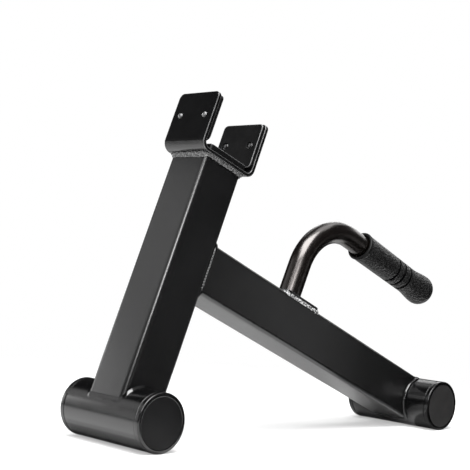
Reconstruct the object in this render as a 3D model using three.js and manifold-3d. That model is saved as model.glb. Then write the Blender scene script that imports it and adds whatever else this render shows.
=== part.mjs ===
// Deadlift jack: a small welded steel stand that rocks on its front foot to lift a loaded bar.
// Millimetres, +Z up. X runs across the jack, +Y runs to the rear, where the handle ends.
import * as THREE from 'three';
import { mergeVertices } from 'three/addons/utils/BufferGeometryUtils.js';
import Module from 'manifold-3d';

const wasm = await Module();
wasm.setup();

// General clearances
const seat_gap = 0.3;            // between two pieces that touch
const cut_overrun = 2;           // how far a cutting tool runs past what it cuts

// Angles of the frame
const post_lean = THREE.MathUtils.degToRad(19.6);
const leg_slope = THREE.MathUtils.degToRad(21.9);

// Square tube of the post and the leg
const tube_side = 50;
const tube_wall = 2.5;
const tube_corner = 4.5;

// Feet: two round tubes across the jack, closed by plastic caps that stand on the floor
const foot_spacing = 417;
const foot_tube_diameter = 54.6;
const foot_tube_wall = 3;
const foot_tube_length = 104.4;
const foot_cap_diameter = 55;
const foot_cap_flange = 5.8;
const foot_cap_edge = 1.5;
const foot_plug_length = 17;
const foot_plug_wall = 2.2;
const foot_plug_play = 0.9;      // between the plug's sleeve and the tube's bore
const foot_plug_chamfer = 1;
const foot_barb_height = 0.6;
const foot_barb_width = 3;
const foot_barb_depth = 9;       // from the tube's end to the barb

// Post
const post_lead = 1;             // the post's axis lies this far ahead of the front foot's axis
const post_reach = 254.3;        // from the front foot's axis to the square-cut top

// Cradle bracket: one bent strip of plate
const bracket_width = 57;
const bracket_depth = 74;
const bracket_height = 59.5;
const bracket_plate = 4;
const bracket_bend = 10;         // outer bend radius
const bracket_corner = 6;        // rounding of the free corners

// Cradle pads
const pad_side_inset = 0.75;     // from the bracket's side to the pad's
const pad_edge = 0.8;
const wall_pad_thickness = 4;
const wall_pad_inset = 1.4;      // from the bracket's free edge to the pad's
const wall_pad_lift = 0.1;       // from the end of the bracket's bend to the pad's lower edge
const wall_pad_corner = 5;
const base_pad_thickness = 5.5;
const base_pad_end_gap = 8;      // from the bracket's inner wall to the pad's end
const base_pad_corner = 1.5;

// Rivets that hold the pads
const rivet_side_inset = 11;     // from the bracket's side to a wall rivet's axis
const rivet_edge_inset = 25;     // from the bracket's free edge to a wall rivet's axis
const rivet_bore_inset = 5;      // from the post's inner wall to a base rivet's axis
const rivet_shank_diameter = 4;
const rivet_head_diameter = 6.6;
const rivet_head_rise = 1.5;
const rivet_tail_diameter = 7.4;
const rivet_tail_rise = 1.4;
const rivet_play = 0.3;

// Handle
const handle_station = 232;      // from the rear foot's axis, along the leg
const handle_tube_diameter = 24;
const handle_tube_wall = 2;
const handle_riser = 42.4;       // from the leg's top face to the start of the bend
const handle_bend_radius = 60;   // on the tube's centre line
const handle_plate_length = 54;
const handle_plate_width = 47;
const handle_plate_thickness = 4;
const handle_plate_corner = 6;

// Grip
const grip_offset = 20;          // from the end of the bend to the grip's mouth
const grip_length = 137;
const grip_mouth_diameter = 33;
const grip_lip_width = 2.4;
const grip_lip_round = 1.1;
const grip_lip_groove = 0.7;
const grip_front_diameter = 31.8;
const grip_neck_diameter = 30.2;
const grip_bulb_diameter = 35.2;
const grip_bulb_length = 43;
const grip_bulb_crown = 15;      // from the bulb's widest ring to the grip's end
const grip_groove_start = 60.7;
const grip_groove_pitch = 11.6;
const grip_groove_width = 1.8;
const grip_groove_depth = 1.3;
const grip_groove_count = 3;
const grip_bore_play = 0.35;
const grip_mouth_flare = 1.4;
const grip_flare_depth = 5;
const grip_end_wall = 6;

// Weld beads
const bead_post_foot = 3.6;
const bead_leg_foot = 3.8;
const bead_cradle = 3;
const bead_cradle_climb = 4.8;   // down the post's front and rear faces, under the bracket's bends
const bead_plate = 2.6;
const bead_riser = 2.4;
const bead_leg_post = 3.2;
const bead_seam_rise = 1.2;      // how far the flush seam beside the leg stands proud
const bead_crown_share = 0.16;   // how far a bead's face bulges, as a share of its leg
const bead_reach_share = 0.9;    // how far a bead runs down the leg's rounded corner

// Fineness
const corner_steps = 4;          // a shape's own arcs get twice their number of steps
const side_steps = 8;
const foot_steps = 40;
const bend_steps = 6;
const handle_sides = 24;
const handle_bend_steps = 16;
const grip_sides = 36;
const swell_steps = 7;
const rivet_steps = 14;

// Sizes that follow from the ones above
const tube_half = tube_side / 2;
const foot_radius = foot_tube_diameter / 2;
const cap_radius = foot_cap_diameter / 2;
const handle_radius = handle_tube_diameter / 2;
const foot_cut_radius = foot_radius + seat_gap;
const post_rear_face = tube_half - post_lead;
const bracket_floor = post_reach + seat_gap;
const bracket_half = bracket_depth / 2;
const bracket_inner_half = bracket_half - bracket_plate;
const bracket_inner_bend = bracket_bend - bracket_plate;
const pad_half_width = bracket_width / 2 - pad_side_inset;
const wall_pad_height = bracket_height - wall_pad_inset - bracket_bend - wall_pad_lift;
const base_pad_half_length = bracket_inner_half - base_pad_end_gap;
const wall_rivet_offset = bracket_width / 2 - rivet_side_inset;
const wall_rivet_height = bracket_height - rivet_edge_inset;
const base_rivet_offset = tube_half - tube_wall - rivet_bore_inset;
const tube_flat_half = tube_half - tube_corner;
const leg_turn = Math.PI / 2 - leg_slope;
const leg_skew = post_lean - leg_slope;
const handle_reach = grip_offset + grip_length - grip_end_wall - seat_gap;

// Materials
const frame_steel = new THREE.MeshStandardMaterial({ color: 0x1a1a1c, roughness: 0.42, metalness: 0.35 });
const bead_steel = new THREE.MeshStandardMaterial({ color: 0x2b2b2d, roughness: 0.45, metalness: 0.35 });
const handle_steel = new THREE.MeshStandardMaterial({ color: 0x151412, roughness: 0.25, metalness: 0.4 });
const cap_plastic = new THREE.MeshStandardMaterial({ color: 0x161617, roughness: 0.5, metalness: 0.0 });
const pad_plastic = new THREE.MeshStandardMaterial({ color: 0x101011, roughness: 0.55, metalness: 0.0 });
const grip_rubber = new THREE.MeshStandardMaterial({ color: 0x202021, roughness: 0.85, metalness: 0.0 });
const rivet_steel = new THREE.MeshStandardMaterial({ color: 0xb8b8ba, roughness: 0.3, metalness: 0.9 });

// Booleans on closed geometries

function toSolid(geometry) {
  const bare = geometry.clone();
  bare.deleteAttribute('normal');
  bare.deleteAttribute('uv');
  const merged = mergeVertices(bare);
  return new wasm.Manifold(new wasm.Mesh({
    numProp: 3,
    vertProperties: new Float32Array(merged.attributes.position.array),
    triVerts: new Uint32Array(merged.index.array),
  }));
}

function toGeometry(solid) {
  const mesh = solid.getMesh();
  const geometry = new THREE.BufferGeometry();
  geometry.setAttribute('position', new THREE.BufferAttribute(new Float32Array(mesh.vertProperties), 3));
  geometry.setIndex(new THREE.BufferAttribute(new Uint32Array(mesh.triVerts), 1));
  const faceted = geometry.toNonIndexed();
  faceted.computeVertexNormals();
  return faceted;
}

function cutAway(geometry, ...tools) {
  let solid = toSolid(geometry);
  for (const tool of tools) solid = solid.subtract(toSolid(tool));
  return toGeometry(solid);
}

function keepInside(geometry, tool) {
  return toGeometry(toSolid(geometry).intersect(toSolid(tool)));
}

// Outlines and plain forms

function roundedRectangle(outline, half_x, half_y, radius) {
  outline.moveTo(half_x, -half_y + radius);
  outline.lineTo(half_x, half_y - radius);
  outline.absarc(half_x - radius, half_y - radius, radius, 0, Math.PI / 2, false);
  outline.lineTo(-half_x + radius, half_y);
  outline.absarc(-half_x + radius, half_y - radius, radius, Math.PI / 2, Math.PI, false);
  outline.lineTo(-half_x, -half_y + radius);
  outline.absarc(-half_x + radius, -half_y + radius, radius, Math.PI, Math.PI * 1.5, false);
  outline.lineTo(half_x - radius, -half_y);
  outline.absarc(half_x - radius, -half_y + radius, radius, Math.PI * 1.5, Math.PI * 2, false);
  return outline;
}

function squareTube(length) {
  const section = roundedRectangle(new THREE.Shape(), tube_half, tube_half, tube_corner);
  const inside = tube_half - tube_wall;
  section.holes.push(roundedRectangle(new THREE.Path(), inside, inside, tube_corner - tube_wall));
  return new THREE.ExtrudeGeometry(section, { depth: length, bevelEnabled: false, curveSegments: corner_steps });
}

// A turned piece: the outline runs round the axis, from one end to the other, in (radius, height)
function turned(outline, steps) {
  const points = outline.map(([radius, height]) => new THREE.Vector2(radius, height));
  return new THREE.LatheGeometry(points, steps);
}

// A round bar along X
function barAcross(radius, length) {
  const bar = new THREE.CylinderGeometry(radius, radius, length, foot_steps);
  bar.rotateZ(Math.PI / 2);
  return bar;
}

function arc(centre_x, centre_y, radius, from, to, steps) {
  const points = [];
  for (let i = 0; i <= steps; i += 1) {
    const angle = from + (to - from) * i / steps;
    points.push([centre_x + radius * Math.cos(angle), centre_y + radius * Math.sin(angle)]);
  }
  return points;
}

// A ring-shaped solid through closed sections, each a list of the same number of points
function closedLoft(sections) {
  const rows = sections.length;
  const columns = sections[0].length;
  const positions = new Float32Array(sections.flat().flatMap((point) => point.toArray()));
  const index = [];
  for (let i = 0; i < rows; i += 1) {
    for (let j = 0; j < columns; j += 1) {
      const a = i * columns + j;
      const b = i * columns + (j + 1) % columns;
      const c = ((i + 1) % rows) * columns + (j + 1) % columns;
      const d = ((i + 1) % rows) * columns + j;
      index.push(a, b, c, a, c, d);
    }
  }
  const geometry = new THREE.BufferGeometry();
  geometry.setAttribute('position', new THREE.BufferAttribute(positions, 3));
  geometry.setIndex(index);
  const faceted = geometry.toNonIndexed();
  faceted.computeVertexNormals();
  return faceted;
}

// Stations round a rounded rectangle: the point on the outline and its outward normal
function outlineStations(half_x, half_y, radius, steps, turns = corner_steps) {
  const stations = [];
  const centres = [
    [half_x - radius, half_y - radius, 0],
    [-half_x + radius, half_y - radius, Math.PI / 2],
    [-half_x + radius, -half_y + radius, Math.PI],
    [half_x - radius, -half_y + radius, Math.PI * 1.5],
  ];
  centres.forEach(([centre_x, centre_y, start], corner) => {
    for (const [x, y] of arc(0, 0, 1, start, start + Math.PI / 2, turns)) {
      stations.push({ x: centre_x + radius * x, y: centre_y + radius * y, nx: x, ny: y });
    }
    const last = stations[stations.length - 1];
    const [next_x, next_y, next_start] = centres[(corner + 1) % centres.length];
    const to_x = next_x + radius * Math.cos(next_start);
    const to_y = next_y + radius * Math.sin(next_start);
    for (let i = 1; i < steps; i += 1) {
      const t = i / steps;
      stations.push({ ...last, x: last.x + (to_x - last.x) * t, y: last.y + (to_y - last.y) * t });
    }
  });
  return stations;
}

// A fillet's section between two toes, with its root in the corner and a slightly full face
function filletSection(root, toe_a, toe_b, crown) {
  const middle = toe_a.clone().add(toe_b).multiplyScalar(1 / 2);
  const out = middle.clone().sub(root).normalize();
  middle.addScaledVector(out, crown);
  return [root, toe_a, middle, toe_b];
}

// The bead where a square tube, standing along +Z with its centre at y = offset, meets a round
// tube that lies along X through the origin
function saddleBead(leg, offset) {
  const skin = foot_radius + seat_gap;
  const sections = outlineStations(tube_half, tube_half, tube_corner, side_steps).map((station) => {
    const x = station.x + station.nx * seat_gap;
    const turn = Math.asin((station.y + station.ny * seat_gap + offset) / skin);
    const onSkin = (at_x, angle) => new THREE.Vector3(at_x, skin * Math.sin(angle), skin * Math.cos(angle));
    const root = onSkin(x, turn);
    const toe_up = root.clone();
    toe_up.z += leg;
    const toe_down = onSkin(x + station.nx * leg, turn + station.ny * leg / skin);
    return filletSection(root, toe_up, toe_down, leg * bead_crown_share);
  });
  return closedLoft(sections);
}

// The bead round an outline that stands along +Z on a surface, given as its height at each x,
// and that goes no further than reach to either side; it climbs the faces square to Y by climb
function surfaceBead(leg, stations, heightAt, reach, climb = leg) {
  const sections = stations.map((station) => {
    const at = (out, up) => {
      const x = THREE.MathUtils.clamp(station.x + station.nx * (out + seat_gap), -reach, reach);
      return new THREE.Vector3(x, station.y + station.ny * (out + seat_gap), heightAt(x) + up + seat_gap);
    };
    const up = THREE.MathUtils.lerp(leg, climb, station.ny * station.ny);
    return filletSection(at(0, 0), at(0, up), at(leg, 0), leg * bead_crown_share);
  });
  return closedLoft(sections);
}

function planeBead(leg, stations, climb = leg) {
  return surfaceBead(leg, stations, () => 0, Infinity, climb);
}

// A round tube along a path in the YZ plane, open at both ends; each station has a point and
// the path's direction there
function sweptTube(stations, radius, bore) {
  const across = new THREE.Vector3(1, 0, 0);
  const ring = ({ point, direction }, ring_radius) => {
    const normal = direction.clone().cross(across);
    return arc(0, 0, ring_radius, 0, Math.PI * 2, handle_sides).slice(1).map(([a, b]) => (
      point.clone().addScaledVector(across, a).addScaledVector(normal, b)
    ));
  };
  const outside = stations.map((station) => ring(station, radius));
  const inside = stations.map((station) => ring(station, bore));
  return closedLoft([...outside, ...inside.reverse()]);
}

// Placing

function named(name, geometry, material) {
  const mesh = new THREE.Mesh(geometry, material);
  mesh.name = name;
  return mesh;
}

// Feet

function footTube() {
  const half = foot_tube_length / 2;
  const bore = foot_radius - foot_tube_wall;
  const tube = turned([[bore, -half], [foot_radius, -half], [foot_radius, half], [bore, half], [bore, -half]], foot_steps);
  tube.rotateZ(-Math.PI / 2);
  return tube;
}

// A cap with its flange outside the tube and its barbed sleeve inside, open towards the tube
function footCap() {
  const sleeve = foot_radius - foot_tube_wall - foot_plug_play;
  const hollow = sleeve - foot_plug_wall;
  const face = foot_cap_flange;
  const floor = foot_cap_flange - foot_plug_wall;
  const rim = arc(cap_radius - foot_cap_edge, face - foot_cap_edge, foot_cap_edge, 0, Math.PI / 2, corner_steps);
  return turned([
    [0, floor],
    [hollow, floor],
    [hollow, -foot_plug_length],
    [sleeve - foot_plug_chamfer, -foot_plug_length],
    [sleeve, -foot_plug_length + foot_plug_chamfer],
    [sleeve, -foot_barb_depth - foot_barb_width],
    [sleeve + foot_barb_height, -foot_barb_depth],
    [sleeve, -foot_barb_depth],
    [sleeve, seat_gap],
    [cap_radius, seat_gap],
    ...rim,
    [0, face],
  ], foot_steps);
}

function foot(place) {
  const group = new THREE.Group();
  group.add(named(`${place}_foot_tube`, footTube(), frame_steel));
  for (const [side, sign] of [['right', 1], ['left', -1]]) {
    const cap = named(`${place}_foot_cap_${side}`, footCap(), cap_plastic);
    cap.rotation.z = -sign * Math.PI / 2;
    cap.position.x = sign * foot_tube_length / 2;
    group.add(cap);
  }
  return group;
}

// Post: coped over the front foot, cut square at the top

function postTube() {
  const tube = squareTube(post_reach);
  tube.translate(0, -post_lead, 0);
  return cutAway(tube, barAcross(foot_cut_radius, tube_side + cut_overrun));
}

// Cradle: in the post's frame, with z = 0 at the bracket's underside and y = 0 at the post's axis

function bracket() {
  const outer = bracket_half;
  const inner = bracket_inner_half;
  const top = bracket_height;
  const profile = new THREE.Shape();
  profile.moveTo(-outer, top);
  profile.lineTo(-outer, bracket_bend);
  profile.absarc(-outer + bracket_bend, bracket_bend, bracket_bend, Math.PI, Math.PI * 1.5, false);
  profile.lineTo(outer - bracket_bend, 0);
  profile.absarc(outer - bracket_bend, bracket_bend, bracket_bend, -Math.PI / 2, 0, false);
  profile.lineTo(outer, top);
  profile.lineTo(inner, top);
  profile.lineTo(inner, bracket_bend);
  profile.absarc(inner - bracket_inner_bend, bracket_bend, bracket_inner_bend, 0, -Math.PI / 2, true);
  profile.lineTo(-inner + bracket_inner_bend, bracket_plate);
  profile.absarc(-inner + bracket_inner_bend, bracket_bend, bracket_inner_bend, -Math.PI / 2, -Math.PI, true);
  profile.lineTo(-inner, top);
  const strip = new THREE.ExtrudeGeometry(profile, {
    depth: bracket_width, bevelEnabled: false, curveSegments: bend_steps,
  });
  strip.translate(0, 0, -bracket_width / 2);
  strip.rotateY(Math.PI / 2);
  strip.rotateX(Math.PI / 2);
  return cutAway(keepInside(strip, bracketFace()), ...rivetHoles());
}

// The strip seen from the front, with its two free corners rounded, run right through both walls
function bracketFace() {
  const half = bracket_width / 2;
  const face = new THREE.Shape();
  face.moveTo(-half - cut_overrun, -cut_overrun);
  face.lineTo(half + cut_overrun, -cut_overrun);
  face.lineTo(half + cut_overrun, bracket_bend);
  face.lineTo(half, bracket_bend);
  face.lineTo(half, bracket_height - bracket_corner);
  face.absarc(half - bracket_corner, bracket_height - bracket_corner, bracket_corner, 0, Math.PI / 2, false);
  face.lineTo(-half + bracket_corner, bracket_height);
  face.absarc(-half + bracket_corner, bracket_height - bracket_corner, bracket_corner, Math.PI / 2, Math.PI, false);
  face.lineTo(-half, bracket_bend);
  face.lineTo(-half - cut_overrun, bracket_bend);
  const through = bracket_depth + cut_overrun * 2;
  const block = new THREE.ExtrudeGeometry(face, { depth: through, bevelEnabled: false, curveSegments: bend_steps });
  block.translate(0, 0, -through / 2);
  block.rotateX(Math.PI / 2);
  return block;
}

// Where each rivet's axis meets the plate's outer face, with the turn that points it inwards
function rivetPlaces() {
  const walls = [
    { wall: 'front', x: wall_rivet_offset, y: -bracket_half, z: wall_rivet_height, turn: 0, pad: wall_pad_thickness },
    { wall: 'rear', x: wall_rivet_offset, y: bracket_half, z: wall_rivet_height, turn: Math.PI, pad: wall_pad_thickness },
    { wall: 'base', x: base_rivet_offset, y: 0, z: 0, turn: Math.PI / 2, pad: base_pad_thickness },
  ];
  return walls.flatMap(({ wall, x, ...rest }) => [
    { name: `${wall}_pad_rivet_right`, x, ...rest },
    { name: `${wall}_pad_rivet_left`, x: -x, ...rest },
  ]);
}

// A round tool along each rivet's axis, from in front of the plate's outer face
function rivetTool(place, radius, from, to) {
  const tool = new THREE.CylinderGeometry(radius, radius, to - from, rivet_steps);
  tool.translate(0, (from + to) / 2, 0);
  tool.rotateX(place.turn);
  tool.translate(place.x, place.y, place.z);
  return tool;
}

function rivetHoles() {
  const radius = rivet_shank_diameter / 2 + rivet_play;
  return rivetPlaces().map((place) => rivetTool(place, radius, -cut_overrun, bracket_plate + cut_overrun));
}

// A pad lying in the XY plane with its back at z = 0, its front edges eased
function padPlate(half_x, half_y, thickness, corner) {
  const outline = roundedRectangle(new THREE.Shape(), half_x - pad_edge, half_y - pad_edge, corner - pad_edge);
  const plate = new THREE.ExtrudeGeometry(outline, {
    depth: thickness - pad_edge * 2,
    bevelEnabled: true,
    bevelThickness: pad_edge,
    bevelSize: pad_edge,
    bevelSegments: 2,
    curveSegments: corner_steps,
  });
  plate.translate(0, 0, pad_edge);
  return plate;
}

// The holes and the recesses for the rivets' tails in a pad on the given wall
function padCuts(wall) {
  const places = rivetPlaces().filter((place) => place.name.startsWith(wall));
  return places.flatMap((place) => {
    const back = bracket_plate + seat_gap;
    const face = back + place.pad;
    const floor = face - rivet_tail_rise - rivet_play * 2;
    return [
      rivetTool(place, rivet_shank_diameter / 2 + rivet_play, back - cut_overrun, face),
      rivetTool(place, rivet_tail_diameter / 2 + rivet_play, floor, face + cut_overrun),
    ];
  });
}

function wallPad(wall, sign) {
  const plate = padPlate(pad_half_width, wall_pad_height / 2, wall_pad_thickness, wall_pad_corner);
  plate.rotateX(sign * Math.PI / 2);
  const y = sign * (bracket_inner_half - seat_gap);
  plate.translate(0, y, bracket_height - wall_pad_inset - wall_pad_height / 2);
  return cutAway(plate, ...padCuts(wall));
}

function basePad() {
  const plate = padPlate(pad_half_width, base_pad_half_length, base_pad_thickness, base_pad_corner);
  plate.translate(0, 0, bracket_plate + seat_gap);
  return cutAway(plate, ...padCuts('base'));
}

// A rivet with its domed head outside the plate and its flat tail sunk in the pad; y runs inwards
function rivet(pad) {
  const shank = rivet_shank_diameter / 2;
  const head = rivet_head_diameter / 2;
  const dome = (head * head + rivet_head_rise * rivet_head_rise) / (2 * rivet_head_rise);
  const swing = Math.asin(head / dome);
  const under = -seat_gap;
  const tail_face = bracket_plate + seat_gap + pad - rivet_play;
  const tail_back = tail_face - rivet_tail_rise;
  const crown = arc(0, under - rivet_head_rise + dome, dome, -Math.PI / 2, -Math.PI / 2 + swing, corner_steps);
  crown[0][0] = 0;
  return turned([
    ...crown,
    [shank, under],
    [shank, tail_back],
    [rivet_tail_diameter / 2, tail_back],
    [rivet_tail_diameter / 2, tail_face],
    [0, tail_face],
  ], rivet_steps);
}

function cradle() {
  const group = new THREE.Group();
  group.position.set(0, -post_lead, bracket_floor);
  group.add(named('cradle_bracket', bracket(), frame_steel));
  group.add(named('cradle_front_pad', wallPad('front', -1), pad_plastic));
  group.add(named('cradle_rear_pad', wallPad('rear', 1), pad_plastic));
  group.add(named('cradle_base_pad', basePad(), pad_plastic));
  for (const place of rivetPlaces()) {
    const piece = named(place.name, rivet(place.pad), rivet_steel);
    piece.position.set(place.x, place.y, place.z);
    piece.rotation.x = place.turn;
    group.add(piece);
  }
  const stations = outlineStations(tube_half, tube_half, tube_corner, 1);
  const bead = planeBead(bead_cradle, stations, bead_cradle_climb);
  bead.rotateX(Math.PI);
  group.add(named('cradle_weld', bead, bead_steel));
  return group;
}

function post() {
  const group = new THREE.Group();
  group.rotation.x = -post_lean;
  group.add(named('post_tube', postTube(), frame_steel));
  group.add(named('post_foot_weld', saddleBead(bead_post_foot, -post_lead), bead_steel));
  group.add(cradle());
  return group;
}

// Leg: in its own frame z runs up the leg from the rear foot's axis and y is square to its top face

// The post's rear face cuts the leg at this z, for a height y above the leg's axis
function postFaceAt(y, gap) {
  return (foot_spacing * Math.cos(post_lean) - post_rear_face - gap - y * Math.sin(leg_skew)) / Math.cos(leg_skew);
}

function legTube() {
  const length = postFaceAt(0, 0) + tube_side;
  const beyond = new THREE.BoxGeometry(tube_side + cut_overrun, tube_side * 2, tube_side * 2);
  beyond.translate(0, 0, tube_side);
  beyond.rotateX(-leg_skew);
  beyond.translate(0, 0, postFaceAt(0, seat_gap));
  return cutAway(squareTube(length), barAcross(foot_cut_radius, tube_side + cut_overrun), beyond);
}

// The bead where the leg butts against the post: a fillet above and below, a flush seam on the
// sides, where the post's rounded corners and the leg's end leave a groove
function legPostBead() {
  const along = (y, gap) => new THREE.Vector3(0, y, postFaceAt(y, gap));
  const sections = outlineStations(tube_half, tube_half, tube_corner, side_steps).map((station) => {
    const side = station.nx * station.nx;
    const out = new THREE.Vector3(station.nx, station.ny, 0).multiplyScalar(seat_gap);
    const root = along(station.y + out.y, seat_gap);
    root.x = station.x + out.x;
    const toe_leg = root.clone();
    toe_leg.z -= THREE.MathUtils.lerp(bead_leg_post, bead_leg_post / 2, side);
    const toe_fillet = along(station.y + station.ny * bead_leg_post, seat_gap);
    toe_fillet.x = station.x + station.nx * bead_leg_post;
    const toe_seam = along(station.y, -tube_corner - seat_gap);
    toe_seam.x = station.x + out.x;
    const toe_post = toe_fillet.lerp(toe_seam, side);
    const face = toe_leg.clone().add(toe_post).multiplyScalar(1 / 2);
    const rise = THREE.MathUtils.lerp(bead_leg_post * bead_crown_share, bead_seam_rise, side);
    face.x += station.nx * rise;
    face.y += station.ny * rise;
    return [root, toe_post, face, toe_leg];
  });
  return closedLoft(sections);
}

function leg() {
  const group = new THREE.Group();
  group.rotation.x = leg_turn;
  group.add(named('leg_tube', legTube(), frame_steel));
  group.add(named('leg_foot_weld', saddleBead(bead_leg_foot, 0), bead_steel));
  group.add(named('leg_post_weld', legPostBead(), bead_steel));
  group.add(handle());
  return group;
}

// Handle: in the leg's frame, with its origin on the leg's top face under the riser; y runs up the riser

function handleTube() {
  const stations = [{
    point: new THREE.Vector3(0, handle_plate_thickness + seat_gap * 2, 0),
    direction: new THREE.Vector3(0, 1, 0),
  }];
  for (let i = 0; i <= handle_bend_steps; i += 1) {
    const angle = i / handle_bend_steps * Math.PI / 2;
    const up = handle_riser + handle_bend_radius * Math.sin(angle);
    const back = handle_bend_radius * (1 - Math.cos(angle));
    stations.push({
      point: new THREE.Vector3(0, up, -back),
      direction: new THREE.Vector3(0, Math.cos(angle), -Math.sin(angle)),
    });
  }
  const last = stations[stations.length - 1];
  stations.push({
    point: last.point.clone().addScaledVector(last.direction, handle_reach),
    direction: last.direction,
  });
  return sweptTube(stations, handle_radius, handle_radius - handle_tube_wall);
}

function handlePlate() {
  const outline = roundedRectangle(
    new THREE.Shape(), handle_plate_width / 2, handle_plate_length / 2, handle_plate_corner,
  );
  const plate = new THREE.ExtrudeGeometry(outline, {
    depth: handle_plate_thickness, bevelEnabled: false, curveSegments: corner_steps,
  });
  plate.rotateX(-Math.PI / 2);
  plate.translate(0, seat_gap, 0);
  return plate;
}

// How far the leg's skin, with its clearance, falls away beside the flat top
function legTopHeight(x) {
  const past = Math.max(Math.abs(x) - tube_flat_half, 0);
  const clear = tube_corner + seat_gap;
  return Math.sqrt(clear * clear - past * past) - clear;
}

// The grip's outline, in (radius, distance from the mouth): bore first, then the outside back
function gripOutline() {
  const bore = handle_radius + grip_bore_play;
  const end_bore = grip_length - grip_end_wall;
  const mouth = grip_mouth_diameter / 2;
  const front = grip_front_diameter / 2;
  const neck = grip_neck_diameter / 2;
  const bulb = grip_bulb_diameter / 2;
  const bulb_start = grip_length - grip_bulb_length;
  const widest = grip_length - grip_bulb_crown;
  const lip_end = grip_lip_width * 2;
  const body = (z) => THREE.MathUtils.lerp(front, neck, (z - lip_end) / (bulb_start - lip_end));
  const outside = [
    [mouth - grip_lip_round, 0],
    [mouth, grip_lip_round],
    [mouth, grip_lip_width - grip_lip_round / 2],
    [mouth - grip_lip_groove, grip_lip_width],
    [mouth - grip_lip_groove / 2, grip_lip_width + grip_lip_round / 2],
    [front, lip_end],
  ];
  for (let i = 0; i < grip_groove_count; i += 1) {
    const z = grip_groove_start + i * grip_groove_pitch;
    const half = grip_groove_width / 2;
    outside.push([body(z - half), z - half]);
    outside.push([body(z) - grip_groove_depth, z - half / 2]);
    outside.push([body(z) - grip_groove_depth, z + half / 2]);
    outside.push([body(z + half), z + half]);
  }
  for (let i = 0; i <= swell_steps; i += 1) {
    const t = i / swell_steps;
    const ease = (1 - Math.cos(Math.PI * t)) / 2;
    outside.push([THREE.MathUtils.lerp(neck, bulb, ease), THREE.MathUtils.lerp(bulb_start, widest, t)]);
  }
  for (const [x, y] of arc(0, 0, 1, 0, Math.PI / 2, swell_steps).slice(1, -1)) {
    outside.push([bulb * x, widest + grip_bulb_crown * y]);
  }
  outside.push([0, grip_length]);
  return [
    [0, end_bore],
    [bore, end_bore],
    [bore, grip_flare_depth],
    [bore + grip_mouth_flare, 0],
    ...outside,
  ];
}

function grip() {
  const solid = turned(gripOutline(), grip_sides);
  solid.rotateX(-Math.PI / 2);
  return solid;
}

function handle() {
  const group = new THREE.Group();
  group.position.set(0, tube_half, handle_station);
  group.add(named('handle_base_plate', handlePlate(), frame_steel));
  group.add(named('handle_tube', handleTube(), handle_steel));
  const grip_mesh = named('handle_grip', grip(), grip_rubber);
  grip_mesh.position.set(0, handle_riser + handle_bend_radius, -handle_bend_radius - grip_offset);
  group.add(grip_mesh);
  const plate_bead = surfaceBead(
    bead_plate,
    outlineStations(handle_plate_width / 2, handle_plate_length / 2, handle_plate_corner, 1, side_steps),
    legTopHeight,
    tube_flat_half + tube_corner * bead_reach_share,
  );
  plate_bead.rotateX(-Math.PI / 2);
  group.add(named('handle_plate_weld', plate_bead, bead_steel));
  const circle = arc(0, 0, 1, 0, Math.PI * 2, handle_sides).slice(1);
  const riser_bead = planeBead(
    bead_riser,
    circle.map(([x, y]) => ({ x: handle_radius * x, y: handle_radius * y, nx: x, ny: y })),
  );
  riser_bead.rotateX(-Math.PI / 2);
  riser_bead.translate(0, handle_plate_thickness + seat_gap, 0);
  group.add(named('handle_riser_weld', riser_bead, bead_steel));
  return group;
}

// The whole jack, with its origin on the floor under the middle of its outline

const stand = new THREE.Group();
stand.add(foot('front'));
stand.add(post());
const rear = new THREE.Group();
rear.position.y = foot_spacing;
rear.add(foot('rear'));
rear.add(leg());
stand.add(rear);
const extent = new THREE.Box3().setFromObject(stand, true);
stand.position.set(0, -(extent.min.y + extent.max.y) / 2, -extent.min.z);
const jack = new THREE.Group();
jack.name = 'deadlift_jack';
jack.add(stand);

export default jack;
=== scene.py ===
"""Looks of a deadlift jack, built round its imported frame.

Lengths are in metres. In the row frame +X runs across the jack, +Y to the rear and +Z up.
"""

import logging
import math
from dataclasses import dataclass
from enum import Enum
from functools import cached_property
from typing import Callable, Iterable, Sequence

import bmesh
import bpy
from mathutils import Matrix, Vector, noise


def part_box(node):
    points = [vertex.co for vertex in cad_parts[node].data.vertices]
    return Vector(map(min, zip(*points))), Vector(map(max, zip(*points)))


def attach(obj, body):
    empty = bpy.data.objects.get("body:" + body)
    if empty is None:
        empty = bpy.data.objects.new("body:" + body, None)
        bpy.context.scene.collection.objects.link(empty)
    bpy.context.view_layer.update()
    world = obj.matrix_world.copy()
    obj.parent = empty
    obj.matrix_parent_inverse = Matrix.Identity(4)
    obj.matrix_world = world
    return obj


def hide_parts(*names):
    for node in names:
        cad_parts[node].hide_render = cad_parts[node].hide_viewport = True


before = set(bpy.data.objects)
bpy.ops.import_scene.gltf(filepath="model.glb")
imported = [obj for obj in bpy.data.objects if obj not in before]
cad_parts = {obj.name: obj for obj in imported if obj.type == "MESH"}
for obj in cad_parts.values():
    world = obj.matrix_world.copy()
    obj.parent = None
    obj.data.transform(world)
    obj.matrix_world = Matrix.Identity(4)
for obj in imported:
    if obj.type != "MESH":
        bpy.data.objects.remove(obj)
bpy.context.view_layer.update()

MM = 0.001
BODY = "root"
QUARTER = math.pi / 2
LOG = logging.getLogger("deadlift_jack")

# Spacing of the points round a square tube, a plate and a weld bead.
TUBE_STEP = 0.7 * MM
PLATE_STEP = 0.8 * MM
BEAD_STEP = 0.45 * MM
# How deep a weld bead is sunk into the steel.
SUNK = 0.05 * MM
# The usual roundings of small moulded and pressed corners.
TIGHT = 0.2 * MM
SLIGHT = 0.3 * MM
SOFT = 0.4 * MM

Profile = list[tuple[float, float]]
Colour = tuple[float, float, float]
Look = Callable[[int], int]


class Side(Enum):
    """The two sides of the jack; the value is the sign of X."""

    RIGHT = 1
    LEFT = -1

    @property
    def label(self) -> str:
        """The side's word in a piece's name."""
        return self.name.lower()


class End(Enum):
    """The jack's two round feet."""

    FRONT = "front"
    REAR = "rear"


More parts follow.
